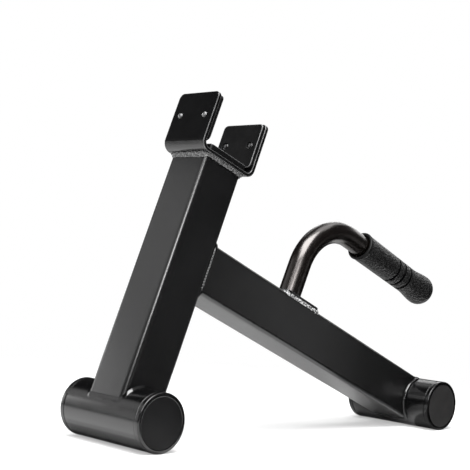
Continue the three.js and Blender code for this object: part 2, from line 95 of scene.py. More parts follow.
class Wall(Enum):
    """The three faces of the cradle that carry a pad."""

    FRONT = "front"
    REAR = "rear"
    BASE = "base"


# Shapes


@dataclass(frozen=True)
class Station:
    """A point on an outline.

    Attributes:
        x: Place across.
        y: Place along.
        nx: Outward normal's part along x.
        ny: Outward normal's part along y.
    """

    x: float
    y: float
    nx: float
    ny: float


def move(x: float, y: float, z: float) -> Matrix:
    """A move by a distance along each axis."""
    return Matrix.Translation((x, y, z))


def rotate(angle: float, axis: str) -> Matrix:
    """A turn round an axis."""
    return Matrix.Rotation(angle, 4, axis)


def one_look(index: int) -> int:
    """The first finish everywhere."""
    return 0


def rounded_outline(half_x: float, half_y: float, radius: float, spacing: float) -> list[Station]:
    """Walks round a rounded rectangle in even steps, against the clock.

    Args:
        half_x: Half the width.
        half_y: Half the length.
        radius: Rounding of the corners.
        spacing: Length of a step.

    Returns:
        The stations, one after another.
    """
    flat_x, flat_y = half_x - radius, half_y - radius
    corners = [(flat_x, flat_y), (-flat_x, flat_y), (-flat_x, -flat_y), (flat_x, -flat_y)]
    runs = [2 * flat_y, QUARTER * radius, 2 * flat_x, QUARTER * radius] * 2
    total = sum(runs)
    count = round(total / spacing)
    stations = []
    for index in range(count):
        left = total * index / count
        part = 0
        while left > runs[part]:
            left -= runs[part]
            part += 1
        corner, curved = divmod(part, 2)
        swing = corner * QUARTER + (left / radius if curved else 0)
        out = Vector((math.cos(swing), math.sin(swing)))
        point = Vector(corners[corner]) + out * radius
        if not curved:
            point += Vector((out.y, -out.x)) * (runs[part] - left)
        stations.append(Station(point.x, point.y, out.x, out.y))
    return stations


def circle_outline(radius: float, count: int) -> list[Station]:
    """Stations round a circle, against the clock."""
    turns = [2 * math.pi * index / count for index in range(count)]
    return [Station(radius * math.cos(a), radius * math.sin(a), math.cos(a), math.sin(a)) for a in turns]


def eased(corners: Sequence[tuple[float, float, float]], steps: int) -> Profile:
    """Rounds the corners of an open profile.

    Args:
        corners: Radius and height of each corner, and how far its rounding reaches along its sides.
        steps: Steps in each rounding.

    Returns:
        The profile's points.
    """
    # The most of a side that a rounding may take.
    most = 0.49
    points: Profile = []
    for index, (radius, height, reach) in enumerate(corners):
        if reach <= 0:
            points.append((radius, height))
            continue
        here = Vector((radius, height))
        sides = [Vector(corners[index + way][:2]) - here for way in (-1, 1)]
        start, stop = (here + side.normalized() * min(reach, side.length * most) for side in sides)
        for step in range(steps + 1):
            t = step / steps
            point = start * (1 - t) ** 2 + here * (2 * t * (1 - t)) + stop * t * t
            points.append((point.x, point.y))
    return points


class Skin:
    """A surface under construction, as rings of points and the faces between them."""

    def __init__(self) -> None:
        """Starts with no points and no faces."""
        self.points: list[Vector] = []
        self.faces: list[list[int]] = []
        self.looks: list[int] = []

    def ring(self, points: Sequence[Vector]) -> list[int]:
        """Adds a ring of points and gives their numbers."""
        self.points.extend(points)
        return list(range(len(self.points) - len(points), len(self.points)))

    def face(self, ring: Iterable[int], look: int = 0) -> None:
        """Adds one face with the finish of that number."""
        self.faces.append(list(ring))
        self.looks.append(look)

    def bridge(self, low: list[int], high: list[int], look: int) -> None:
        """Joins two rings of the same length, or a ring and a single point.

        Args:
            low: One ring.
            high: The next ring.
            look: Number of the finish on the faces between them.
        """
        count = max(len(low), len(high))
        for index in range(count):
            after = (index + 1) % count
            near = (low[index % len(low)], low[after % len(low)])
            far = (high[after % len(high)], high[index % len(high)])
            self.face(dict.fromkeys(near + far), look)

    def join(self, rows: Sequence[list[int]], closed: bool, look_at: Look) -> None:
        """Joins each ring to the next.

        Args:
            rows: The rings, in order.
            closed: Whether the last ring joins the first.
            look_at: Gives the number of the finish after each ring.
        """
        after = [*rows[1:], rows[0]] if closed else rows[1:]
        for index, (low, high) in enumerate(zip(rows, after)):
            self.bridge(low, high, look_at(index))

    def loft(self, rings: Sequence[Sequence[Vector]], closed: bool, look_at: Look = one_look) -> "Skin":
        """Joins a row of rings.

        Args:
            rings: The rings, each a list of points.
            closed: Whether the last ring joins the first; otherwise both ends are capped.
            look_at: Gives the number of the finish after each ring.

        Returns:
            This skin.
        """
        rows = [self.ring(ring) for ring in rings]
        self.join(rows, closed, look_at)
        if not closed:
            for index in (0, len(rows) - 1):
                self.face(rows[index], look_at(index))
        return self

    def piece(self, name: str, matrix: Matrix) -> bpy.types.Object:
        """Makes the Blender object.

        Args:
            name: The piece's name.
            matrix: From this skin's own frame to the row frame.

        Returns:
            The object, with its mesh in the row frame.
        """
        data = bpy.data.meshes.new(name)
        data.from_pydata([matrix @ point for point in self.points], [], self.faces)
        data.polygons.foreach_set("material_index", self.looks)
        work = bmesh.new()
        work.from_mesh(data)
        bmesh.ops.recalc_face_normals(work, faces=work.faces)
        work.to_mesh(data)
        work.free()
        data.shade_smooth()
        piece = bpy.data.objects.new(name, data)
        bpy.context.scene.collection.objects.link(piece)
        return piece


def turned(profile: Profile, sides: int, look_at: Look = one_look, closed: bool = False) -> Skin:
    """Turns a profile round the local z axis.

    Args:
        profile: Radius and height of each point; an open profile starts and ends on the axis.
        sides: Number of sides.
        look_at: Gives the number of the finish after each point of the profile.
        closed: Whether the last point joins the first.

    Returns:
        The skin.
    """
    skin = Skin()
    circle = circle_outline(1.0, sides)
    rows = []
    for radius, height in profile:
        spots = circle if radius else circle[:1]
        rows.append(skin.ring([Vector((s.x * radius, s.y * radius, height)) for s in spots]))
    skin.join(rows, closed, look_at)
    return skin


def rounded_plate(
    half_x: float, half_y: float, corner: float, thickness: float, ease: float, edge: int = 0
) -> Skin:
    """A plate with rounded corners and eased edges, its back at z = 0.

    Args:
        half_x: Half the width.
        half_y: Half the length.
        corner: Rounding of the corners.
        thickness: From back to front.
        ease: Rounding of the edges.
        edge: Number of the finish on the rounded edge of the front.

    Returns:
        The skin.
    """
    outline = rounded_outline(half_x, half_y, corner, PLATE_STEP)
    steps = 4
    swings = [QUARTER * step / steps for step in range(steps + 1)]
    levels = [(1 - math.sin(a), ease * (1 - math.cos(a))) for a in swings]
    levels += [(1 - math.cos(a), thickness - ease * (1 - math.sin(a))) for a in swings]
    rings = []
    for share, z in levels:
        inset = ease * share
        rings.append([Vector((s.x - s.nx * inset, s.y - s.ny * inset, z)) for s in outline])
    return Skin().loft(rings, False, lambda index: edge if steps < index < 2 * steps + 1 else 0)


def steady(piece: bpy.types.Object) -> None:
    """Keeps the flat faces of a piece with rounded edges flat."""
    flat_weight = 60
    piece.modifiers.new("shading", "WEIGHTED_NORMAL").weight = flat_weight


def soften(piece: bpy.types.Object, width: float, angle: float, segments: int = 3) -> None:
    """Rounds a piece's sharp edges and keeps its flat faces flat.

    Args:
        piece: The piece.
        width: Width of the rounding.
        angle: The least angle between faces, in degrees, that counts as an edge.
        segments: Steps across the rounding.
    """
    bevel = piece.modifiers.new("edges", "BEVEL")
    bevel.width = width
    bevel.segments = segments
    bevel.limit_method = "ANGLE"
    bevel.angle_limit = math.radians(angle)
    bevel.miter_outer = "MITER_ARC"
    steady(piece)


def bore(piece: bpy.types.Object, cutters: Sequence[bpy.types.Object]) -> None:
    """Cuts other objects out of a piece and removes them.

    Args:
        piece: The piece.
        cutters: What is cut away.
    """
    for cutter in cutters:
        cut = piece.modifiers.new("bore", "BOOLEAN")
        cut.operation = "DIFFERENCE"
        cut.solver = "EXACT"
        cut.object = cutter
    bpy.context.view_layer.update()
    done = bpy.data.meshes.new_from_object(piece.evaluated_get(bpy.context.evaluated_depsgraph_get()))
    piece.modifiers.clear()
    piece.data = done
    for cutter in cutters:
        bpy.data.objects.remove(cutter)
    piece.data.shade_smooth()


# Finishes


class Nodes:
    """Short words for making and joining shader nodes."""

    def __init__(self, name: str) -> None:
        """Starts a material with its shader and its coordinates.

        Args:
            name: The material's name.
        """
        self.material = bpy.data.materials.new(name)
        self.material.use_nodes = True
        self.tree = self.material.node_tree
        self.shader = self.tree.nodes["Principled BSDF"]
        self.place = self.tree.nodes.new("ShaderNodeTexCoord").outputs["Object"]

    def add(self, kind: str, **settings: object) -> bpy.types.Node:
        """Adds a node.

        Args:
            kind: The node's type.
            **settings: Values for its properties or, where it has none of that name, its sockets.

        Returns:
            The node.
        """
        node = self.tree.nodes.new(kind)
        for key, value in settings.items():
            if hasattr(node, key):
                setattr(node, key, value)
            else:
                node.inputs[key.replace("_", " ").title()].default_value = value
        return node

    def join(self, source: bpy.types.NodeSocket, target: bpy.types.NodeSocket) -> None:
        """Joins an output to an input."""
        self.tree.links.new(source, target)

    def set(self, **values: object) -> None:
        """Sets sockets of the shader, or joins them to an output.

        Args:
            **values: Value or output for each socket, by its name in small letters.
        """
        sockets = {socket.name.lower().replace(" ", "_"): socket for socket in self.shader.inputs}
        for key, value in values.items():
            if isinstance(value, bpy.types.NodeSocket):
                self.join(value, sockets[key])
            else:
                sockets[key].default_value = value

    def noise(self, size: float, detail: float = 2.0) -> bpy.types.NodeSocket:
        """Cloudy noise in the piece's own coordinates.

        Args:
            size: Length of one cloud.
            detail: Layers of finer noise.

        Returns:
            Its value from 0 to 1.
        """
        node = self.add("ShaderNodeTexNoise", scale=1 / size, detail=detail)
        self.join(self.place, node.inputs["Vector"])
        return node.outputs["Fac"]

    def spread(
        self, value: bpy.types.NodeSocket, low: float = 0.0, high: float = 1.0, share: float = 0.2
    ) -> bpy.types.NodeSocket:
        """Maps the middle of a noise to a range.

        Args:
            value: The noise.
            low: Result at the low end.
            high: Result at the high end.
            share: How far from one half the noise's ends are taken.

        Returns:
            The mapped value.
        """
        node = self.add(
            "ShaderNodeMapRange", from_min=0.5 - share, from_max=0.5 + share, to_min=low, to_max=high
        )
        self.join(value, node.inputs["Value"])
        return node.outputs["Result"]

    def blend(
        self, factor: bpy.types.NodeSocket, first: Colour | bpy.types.NodeSocket, second: Colour
    ) -> bpy.types.NodeSocket:
        """Mixes two colours.

        Args:
            factor: 0 for the first, 1 for the second.
            first: A colour, or the output that gives it.
            second: Another colour.

        Returns:
            The mixed colour.
        """
        node = self.add("ShaderNodeMix", data_type="RGBA")
        low, high = [socket for socket in node.inputs if socket.type == "RGBA"]
        if isinstance(first, bpy.types.NodeSocket):
            self.join(first, low)
        else:
            low.default_value = (*first, 1)
        high.default_value = (*second, 1)
        self.join(factor, node.inputs["Factor"])
        return next(socket for socket in node.outputs if socket.type == "RGBA")

    def bump(
        self, height: bpy.types.NodeSocket, depth: float, under: bpy.types.NodeSocket | None = None
    ) -> bpy.types.NodeSocket:
        """Raises the surface by a height.

        Args:
            height: Height from 0 to 1.
            depth: The real height in metres.
            under: The normal of a coarser relief below this one.

        Returns:
            The normal.
        """
        node = self.add("ShaderNodeBump", distance=depth)
        self.join(height, node.inputs["Height"])
        if under is not None:
            self.join(under, node.inputs["Normal"])
        return node.outputs["Normal"]


def grey(tone: float) -> Colour:
    """A plain grey."""
    return (tone, tone, tone)


def ink(tone: float, blue: float = 0.0001) -> Colour:
    """A grey with a little more blue in it."""
    return (tone, tone, tone + blue)


@dataclass(frozen=True)
class Coat:
    """A sprayed or moulded black surface.

    Attributes:
        name: The finish's name.
        slot: Its slot in the record; not used.
        dark: The darker of its two tones.
        pale: The paler of its two tones.
        shine: Lowest and highest roughness.
        peel: Size of the orange peel or grain, in millimetres.
        depth: Height of the grain, in millimetres.
        glint_specks: Paleness of fine pale dots mixed into the colour, which stand for sparkling glints: a
            painted highlight; 0 for none.
        specular: Strength of its gloss.
        metallic: How metallic it is.
        pebble: Size of raised pebbles, in millimetres, 0 for none.
        tint: Tint of its gloss.
        ior: Its index of refraction.
    """

    name: str
    slot: str
    dark: Colour
    pale: Colour
    shine: tuple[float, float]
    peel: float
    depth: float
    glint_specks: float = 0.0
    specular: float = 0.5
    metallic: float = 0.0
    pebble: float = 0.0
    tint: Colour = (1.0, 1.0, 1.0)
    ior: float = 1.5

    @cached_property
    def material(self) -> bpy.types.Material:
        """The finish's material, made when it is first asked for.

        Returns:
            The material: slow clouds of colour, patches of shine, and a fine grain.
        """
        cloud, patch, glint_size = 38 * MM, 9 * MM, 1.5 * MM
        nodes = Nodes(self.name)
        colour = nodes.blend(nodes.spread(nodes.noise(cloud, detail=4.0)), self.dark, self.pale)
        rough = nodes.spread(nodes.noise(patch, detail=3.0), *self.shine)
        normal = nodes.bump(nodes.noise(self.peel * MM), self.depth * MM)
        # Fine pale dots mixed into the colour: painted glints.
        if self.glint_specks > 0:
            painted_glints = nodes.spread(nodes.noise(glint_size, detail=1.0), low=-1.2, high=1.4, share=0.12)
            colour = nodes.blend(painted_glints, colour, grey(self.glint_specks))
        if self.pebble > 0:
            cells = nodes.add("ShaderNodeTexVoronoi", feature="SMOOTH_F1", scale=1 / (self.pebble * MM))
            nodes.join(nodes.place, cells.inputs["Vector"])
            normal = nodes.bump(cells.outputs["Distance"], -self.pebble * MM / 2, normal)
        nodes.set(metallic=self.metallic, specular_ior_level=self.specular, ior=self.ior)
        nodes.set(specular_tint=(*self.tint, 1), base_color=colour, roughness=rough, normal=normal)
        return nodes.material


class Finish(Enum):
    """The jack's finishes."""

    SATIN = Coat(
        "satin_powder_coat", "frame_steel", ink(0.002), ink(0.0034, 0.0002), (0.24, 0.27), 0.7, 0.005
    )
    # A paler copy of the frame's satin coat, on the leg: painted light.
    LEG = Coat("satin_leg_coat", "frame_steel", ink(0.0035), ink(0.005), (0.24, 0.27), 0.7, 0.005)
    # A darker copy of the frame's coat, on the feet, with a smoother gloss: painted shade.
    FOOT = Coat("smooth_foot_coat", "frame_steel", ink(0.0006), ink(0.0012), (0.2, 0.23), 0.7, 0.005)
    SLICK = Coat(
        "slick_cradle_coat", "frame_steel", ink(0.0016), ink(0.0026, 0.0002), (0.17, 0.23), 1.2, 0.006
    )
    # A darker, nearly glossless copy of the cradle coat, on the bracket's flat walls: painted shade.
    WALL = Coat(
        "dull_cradle_coat", "frame_steel", ink(0.0012), ink(0.0022), (0.3, 0.4), 1.2, 0.006, specular=0.05
    )
    # A much paler copy of the cradle coat, on the bracket's rounded edges: painted highlight.
    RUBBED = Coat(
        "rubbed_coat_edge", "frame_steel", ink(0.018, 0.0002), ink(0.05, 0.0005), (0.2, 0.3), 0.9, 0.01
    )
    BEAD = Coat("coated_weld_bead", "weld_steel", ink(0.0012), ink(0.003), (0.09, 0.14), 0.9, 0.02)
    # A darker copy of the weld bead with little gloss, on the sides of the post's weld: painted shade.
    DULL_BEAD = Coat(
        "dull_weld_bead", "weld_steel", ink(0.0012), ink(0.0024), (0.2, 0.3), 0.9, 0.02, ior=1.16
    )
    # A far paler copy of the coat with pale dots, on the weld under the cradle: painted sheen and glints.
    ROUGH_BEAD = Coat(
        "grainy_weld_bead", "weld_steel", ink(0.012), ink(0.035, 0.0003), (0.14, 0.28), 1.2, 0.3,
        glint_specks=0.1,
    )
    # A paler copy of the coat with many pale dots, on the weld round the handle's base plate: painted
    # highlight and glints.
    BARE_BEAD = Coat(
        "thinly_coated_weld_bead", "weld_steel", ink(0.008), ink(0.03, 0.0003), (0.14, 0.28), 1.2, 0.3,
        glint_specks=0.4,
    )
    GLOSS = Coat(
        "sprayed_handle_coat", "handle_steel", (0.0012, 0.0008, 0.0007), (0.0022, 0.0016, 0.0013),
        (0.22, 0.27), 0.7, 0.01, tint=(1.0, 0.94, 0.91), ior=1.64,
    )
    CAP = Coat(
        "moulded_cap_plastic", "cap_plastic", ink(0.0012), ink(0.0026), (0.16, 0.22), 1.6, 0.01, ior=1.45
    )
    CAP_FACE = Coat(
        "dull_cap_face", "cap_plastic", ink(0.0022), ink(0.0048, 0.0002), (0.34, 0.46), 1.2, 0.02, ior=1.2
    )
    # A paler copy of the cap face, used on the rear caps only.
    SCUFFED_CAP_FACE = Coat(
        "scuffed_cap_face", "cap_plastic", (0.016, 0.0155, 0.0155), (0.026, 0.0255, 0.0255),
        (0.38, 0.5), 1.2, 0.02, ior=1.2,
    )
    PAD = Coat(
        "moulded_pad_plastic", "pad_plastic", ink(0.0012), ink(0.003), (0.3, 0.42), 0.8, 0.03, ior=1.25
    )
    # A much paler copy of the pad plastic, on the pads' rounded front edges: painted highlight.
    PAD_EDGE = Coat(
        "rubbed_pad_edge", "pad_plastic", ink(0.03, 0.0005), ink(0.07, 0.001), (0.25, 0.4), 0.9, 0.03
    )
    # The faint pale dots on the grip are painted glints on its pebbles.
    GRIP = Coat(
        "pebbled_grip_rubber", "grip_rubber", ink(0.003), ink(0.006, 0.0002), (0.34, 0.46), 0.6, 0.03,
        ior=1.35, pebble=2.0, glint_specks=0.013,
    )
    PLAIN_RUBBER = Coat(
        "smooth_grip_rubber", "grip_rubber", ink(0.0025), ink(0.004), (0.34, 0.44), 0.5, 0.02, ior=1.25
    )
    # A darker copy of the grip rubber with almost no gloss, in the grooves: painted shade.
    GROOVE = Coat(
        "dull_grip_groove", "grip_rubber", ink(0.0008), ink(0.0016), (0.4, 0.5), 0.5, 0.02, ior=1.05
    )
    RIVET = Coat(
        "bright_rivet_steel", "rivet_steel", ink(0.14, 0.002), ink(0.22, 0.003), (0.36, 0.46), 0.6, 0.01,
        metallic=1.0,
    )


def dress(piece: bpy.types.Object, node: str, *finishes: Finish) -> None:
    """Gives a finished piece its materials and its body, and hides the frame's node that it stands for.

    Args:
        piece: The piece.
        node: Name of the frame's node that it replaces.
        *finishes: Its finishes, in the order of its faces' numbers.
    """
    looks = [0] * len(piece.data.polygons)
    piece.data.polygons.foreach_get("material_index", looks)
    piece.data.materials.clear()
    for finish in finishes:
        piece.data.materials.append(finish.value.material)
    piece.data.polygons.foreach_set("material_index", looks)
    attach(piece, BODY)
    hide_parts(node)
    LOG.info("%s: %d faces", piece.name, len(piece.data.polygons))


# The jack


@dataclass(frozen=True)
class Layout:
    """Where the sub-assemblies stand, with the sizes that they share.

    Attributes:
        lean: The post's lean to the rear.
        slope: The leg's slope down to the rear.
        side: Width of the square tube.
        wall: Its wall.
        corner: Rounding of its edges.
        cut_ease: Rounding of its cut ends.
        foot_radius: Radius of the foot tubes.
        lead: How far the post's axis lies ahead of the front foot's.
        reach: From the front foot's axis to the post's top.
        gap: Clearance between the post's top and the cradle.
        station: Where the handle stands, from the rear foot's axis along the leg.
    """

    lean: float = math.radians(19.6)
    slope: float = math.radians(21.9)
    side: float = 50 * MM
    wall: float = 2.5 * MM
    corner: float = 4.5 * MM
    cut_ease: float = 0.4 * MM
    foot_radius: float = 27.3 * MM
    lead: float = 1 * MM
    reach: float = 254.3 * MM
    gap: float = 0.3 * MM
    station: float = 232 * MM

    @property
    def half(self) -> float:
        """Half the square tube's width."""
        return self.side / 2

    @cached_property
    def foot_axis(self) -> dict[End, Vector]:
        """Finds the axes of the feet from their caps.

        Returns:
            Each foot's axis at X = 0, in the row frame.
        """
        axes = {}
        for end in End:
            low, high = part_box(f"{end.value}_foot_cap_right")
            axes[end] = Vector((0, (low.y + high.y) / 2, (low.z + high.z) / 2))
        return axes

    @cached_property
    def spacing(self) -> float:
        """From one foot's axis to the other's."""
        return (self.foot_axis[End.REAR] - self.foot_axis[End.FRONT]).length

    @property
    def post_frame(self) -> Matrix:
        """The post's frame: z up the post from the front foot's axis."""
        return move(*self.foot_axis[End.FRONT]) @ rotate(-self.lean, "X")

    @property
    def leg_frame(self) -> Matrix:
        """The leg's frame: z up the leg from the rear foot's axis, y square to its top."""
        return move(*self.foot_axis[End.REAR]) @ rotate(QUARTER - self.slope, "X")

    @property
    def cradle_frame(self) -> Matrix:
        """The cradle's frame: on the post's axis at the bracket's underside."""
        return self.post_frame @ move(0, -self.lead, self.reach + self.gap)

    @property
    def handle_frame(self) -> Matrix:
        """The handle's frame: y up the riser from the leg's top face."""
        return self.leg_frame @ move(0, self.half, self.station)

    def foot_skin(self, y: float) -> float:
        """Height of a foot's skin above its axis."""
        return math.sqrt(self.foot_radius**2 - y * y)

    def post_face(self, y: float) -> float:
        """Where the post's rear face crosses the leg.

        Args:
            y: Height above the leg's axis.

        Returns:
            The place along the leg.
        """
        skew = self.lean - self.slope
        face = self.half - self.lead
        return (self.spacing * math.cos(self.lean) - face - y * math.sin(skew)) / math.cos(skew)

    def square(self) -> list[Station]:
        """The square tube's outline, in the steps of a weld bead."""
        return rounded_outline(self.half, self.half, self.corner, BEAD_STEP)

    def tube(
        self, name: str, high: Callable[[float], float], shift: float, place: Matrix
    ) -> bpy.types.Object:
        """A length of the square tube, coped over a round foot at its lower end.

        Args:
            name: The piece's name.
            high: Height of the upper end at each y.
            shift: The tube's centre along y.
            place: From the tube's frame to the row frame.

        Returns:
            The piece, open at both ends.
        """
        outside = rounded_outline(self.half, self.half, self.corner, TUBE_STEP)
        inner = self.half - self.wall
        inside = rounded_outline(inner, inner, self.corner - self.wall, TUBE_STEP * inner / self.half)
        count = min(len(outside), len(inside))
        rings = []
        for stations, ends in ((outside, (self.foot_skin, high)), (inside, (high, self.foot_skin))):
            numbers = [round(index * len(stations) / count) % len(stations) for index in range(count)]
            picked = [stations[number] for number in numbers]
            for end in ends:
                rings.append([Vector((s.x, s.y + shift, end(s.y + shift))) for s in picked])
        piece = Skin().loft(rings, closed=True).piece(name, place)
        soften(piece, self.cut_ease, angle=55)
        return piece


@dataclass(frozen=True)
class BeadStation:
    """One cut through a weld bead: its root and the two toes of its face."""

    root: Vector
    toe_up: Vector
    toe_out: Vector


@dataclass
class Bead:
    """A weld bead under its coat.

    Attributes:
        name: The piece's name.
        node: The frame's node that it stands for.
        crown: How far its face bulges.
        ripple: Height of a ripple.
        seed: Where its unevenness starts.
        pitch: Length of a ripple.
        passes: Number of ridges across its face.
        look_at: Gives the number of the finish at a station.
        steps: Steps across its face.
        wave: Length of the waves of its upper toe and its crown.
        drift: Length of the waves of its outer toe.
        wander: How much its toes wander, as a share of the leg.
        swell: How much its crown varies, as a share.
        bow: How far the middle of a ripple runs ahead of its ends, as a share of its length.
    """

    name: str
    node: str
    crown: float
    ripple: float
    seed: float
    pitch: float = 2.1 * MM
    passes: int = 1
    look_at: Callable[[BeadStation], int] = lambda station: 0
    steps: int = 12
    wave: float = 6 * MM
    drift: float = 9 * MM
    wander: float = 0.16
    swell: float = 0.3
    bow: float = 0.5

    def lay(self, stations: Sequence[BeadStation], matrix: Matrix, *finishes: Finish) -> None:
        """Makes the bead along a closed row of stations and dresses it.

        Args:
            stations: The cuts, in order.
            matrix: From their frame to the row frame.
            *finishes: Its finishes, in the order of its faces' numbers.
        """
        rings = []
        run = 0.0
        before = stations[-1].root
        for station in stations:
            run += (station.root - before).length
            before = station.root
            uneven = noise.noise(Vector((run / self.wave, self.seed, 0)))
            side = noise.noise(Vector((run / self.drift, 0, self.seed)))
            toe_up = station.root.lerp(station.toe_up, 1 + self.wander * uneven)
            toe_out = station.root.lerp(station.toe_out, 1 + self.wander * side)
            out = (toe_up.lerp(toe_out, 0.5) - station.root).normalized()
            ring = [station.root]
            for step in range(self.steps + 1):
                t = step / self.steps
                dome = abs(math.sin(math.pi * self.passes * t))
                phase = (run + self.pitch * self.bow * (2 * t - 1) ** 2) / self.pitch
                scale = abs(math.sin(math.pi * phase)) - 0.5
                rise = dome * self.crown * (1 + self.swell * uneven) + math.sqrt(dome) * self.ripple * scale
                ring.append(toe_up.lerp(toe_out, t) + out * rise)
            rings.append(ring)
        skin = Skin().loft(rings, closed=True, look_at=lambda index: self.look_at(stations[index]))
        dress(skin.piece(self.name, matrix), self.node, *finishes)


def saddle_stations(layout: Layout, leg: float, shift: float) -> list[BeadStation]:
    """Stations where a square tube along z meets a round foot along x.

    Args:
        layout: The jack's layout.
        leg: Length of the bead's legs.
        shift: The square tube's centre along y.

    Returns:
        The stations.
    """
    radius = layout.foot_radius - SUNK

    def on_skin(x: float, angle: float) -> Vector:
        """A point on the foot's skin."""
        return Vector((x, radius * math.sin(angle), radius * math.cos(angle)))

    stations = []
    for s in layout.square():
        angle = math.asin((s.y + shift) / radius)
        root = on_skin(s.x - s.nx * SUNK, angle)
        out = on_skin(s.x + s.nx * leg, angle + s.ny * leg / radius)
        stations.append(BeadStation(root, root + Vector((0, 0, leg)), out))
    return stations


def flat_stations(
    outline: Sequence[Station],
    leg: float,
    height: Callable[[float], float] = lambda x: 0.0,
    limit: float = math.inf,
    climb: float = 0.0,
) -> list[BeadStation]:
    """Stations where a wall along z stands on a surface.

    Args:
        outline: The wall's outline.
        leg: Length of the bead's legs.
        height: Height of the surface at each x.
        limit: The furthest that the bead goes to either side.
        climb: How much higher it climbs a wall square to y.

    Returns:
        The stations.
    """

    def beside(s: Station, out: float, up: float) -> Vector:
        """A point beside the wall."""
        x = max(-limit, min(limit, s.x + s.nx * out))
        return Vector((x, s.y + s.ny * out, height(x) + up))

    stations = []
    for s in outline:
        toe_up = beside(s, -SUNK, leg + climb * s.ny * s.ny)
        stations.append(BeadStation(beside(s, -SUNK, -SUNK), toe_up, beside(s, leg, -SUNK)))
    return stations


@dataclass
class Foot:
    """A round foot: a tube across the jack with a plug cap in each end.

    Attributes:
        layout: The jack's layout.
        end: Which foot.
        length: Length of the tube.
        wall: The tube's wall.
        sides: Number of sides of the tube and the caps.
        edge: Rounding of the tube's edges.
        cap_radius: Radius of a cap's flange.
        flange: Thickness of the flange.
        rim: Rounding of the flange's edge.
        border: Width of the raised border round the flange's face.
        dish: How deep the face lies inside the border.
        slope: Width of the slope from the border to the face.
        draft: How much narrower the flange is beside the tube.
        shoulder: From there to its full radius.
        plug: Length of the cap's sleeve.
        play: Clearance between the sleeve and the tube.
        moulding: Thickness of the cap's walls.
        lead_in: Chamfer at the sleeve's end.
        barb: Height of the ridge that holds the cap in the tube.
        barb_start: Where the ridge starts to rise, behind the tube's end.
        barb_stop: Where it ends.
        seat: Clearance between the flange and the tube's end.
    """

    layout: Layout
    end: End
    length: float = 104.4 * MM
    wall: float = 3 * MM
    sides: int = 160
    edge: float = 0.5 * MM
    cap_radius: float = 27.5 * MM
    flange: float = 5.8 * MM
    rim: float = 1.5 * MM
    border: float = 3.4 * MM
    dish: float = 0.35 * MM
    slope: float = 0.5 * MM
    draft: float = 0.1 * MM
    shoulder: float = 1.2 * MM
    plug: float = 17 * MM
    play: float = 0.9 * MM
    moulding: float = 2.2 * MM
    lead_in: float = 1 * MM
    barb: float = 0.6 * MM
    barb_start: float = 12 * MM
    barb_stop: float = 9 * MM
    seat: float = 0.25 * MM

    def build(self) -> None:
        """Makes the tube and both caps."""
        half, outer = self.length / 2, self.layout.foot_radius
        inner = outer - self.wall
        profile = [(inner, -half), (outer, -half), (outer, half), (inner, half)]
        place = move(*self.layout.foot_axis[self.end]) @ rotate(QUARTER, "Y")
        piece = turned(profile, self.sides, closed=True).piece(f"{self.end.value}_foot", place)
        soften(piece, self.edge, angle=40)
        # The foot tube's coat is painted darker than the post's: painted shade.
        dress(piece, f"{self.end.value}_foot_tube", Finish.FOOT)
        for side in Side:
            self.build_cap(side)

    def build_cap(self, side: Side) -> None:
        """Makes one cap, with the sleeve and barb that hold it in the tube.

        Args:
            side: Which end of the tube.
        """
        sleeve = self.layout.foot_radius - self.wall - self.play
        hollow = sleeve - self.moulding
        bottom = self.flange - self.moulding
        ledge = self.cap_radius - self.border
        face = self.flange - self.dish
        steps = 6
        # From the middle of the hollow out over the sleeve's end and the flange to the face.
        profile = eased([
            (0, bottom, 0),
            (hollow, bottom, 1 * MM),
            (hollow, -self.plug, SOFT),
            (sleeve - self.lead_in, -self.plug, SLIGHT),
            (sleeve, self.lead_in - self.plug, SLIGHT),
            (sleeve, -self.barb_start, TIGHT),
            (sleeve + self.barb, -self.barb_stop, TIGHT),
            (sleeve, -self.barb_stop, TIGHT),
            (sleeve, self.seat, TIGHT),
            (self.cap_radius - self.draft, self.seat, 0.35 * MM),
            (self.cap_radius, self.seat + self.shoulder, SLIGHT),
            (self.cap_radius, self.flange, self.rim),
            (ledge, self.flange, SOFT),
            (ledge - self.slope, face, SOFT),
            (0, face, 0),
        ], steps)
        face_start = len(profile) - 1 - steps
        place = self.layout.foot_axis[self.end] + Vector((side.value * self.length / 2, 0, 0))
        skin = turned(profile, self.sides, lambda index: int(index >= face_start))
        matrix = move(*place) @ rotate(side.value * QUARTER, "Y")
        piece = skin.piece(f"{self.end.value}_cap_{side.label}", matrix)
        face_finish = Finish.CAP_FACE if self.end is End.FRONT else Finish.SCUFFED_CAP_FACE
        dress(piece, f"{self.end.value}_foot_cap_{side.label}", Finish.CAP, face_finish)


@dataclass
class Post:
    """The leaning post, coped over the front foot, with the bead that joins them.

    Attributes:
        layout: The jack's layout.
        bead: Leg of the weld at the foot.
        bright: How far the bright bead of the front and the rear runs on past each corner; between, along the
            sides, the bead carries painted shade.
    """

    layout: Layout
    bead: float = 2.8 * MM
    bright: float = 2.5 * MM

    def build(self) -> None:
        """Makes the post and its weld."""
        layout = self.layout
        piece = layout.tube("post", lambda y: layout.reach, -layout.lead, layout.post_frame)
        dress(piece, "post_tube", Finish.SATIN)
        flat = layout.half - layout.corner

        def beside(station: BeadStation) -> int:
            """1 along the post's sides, where the bead carries painted shade, and 0 elsewhere."""
            return int(abs(station.root.x) > flat and abs(station.root.y + layout.lead) < flat - self.bright)

        weld = Bead("post_foot_bead", "post_foot_weld", 0.1 * MM, 0.08 * MM, seed=3.1, look_at=beside)
        stations = saddle_stations(layout, self.bead, -layout.lead)
        weld.lay(stations, layout.post_frame, Finish.BEAD, Finish.DULL_BEAD)


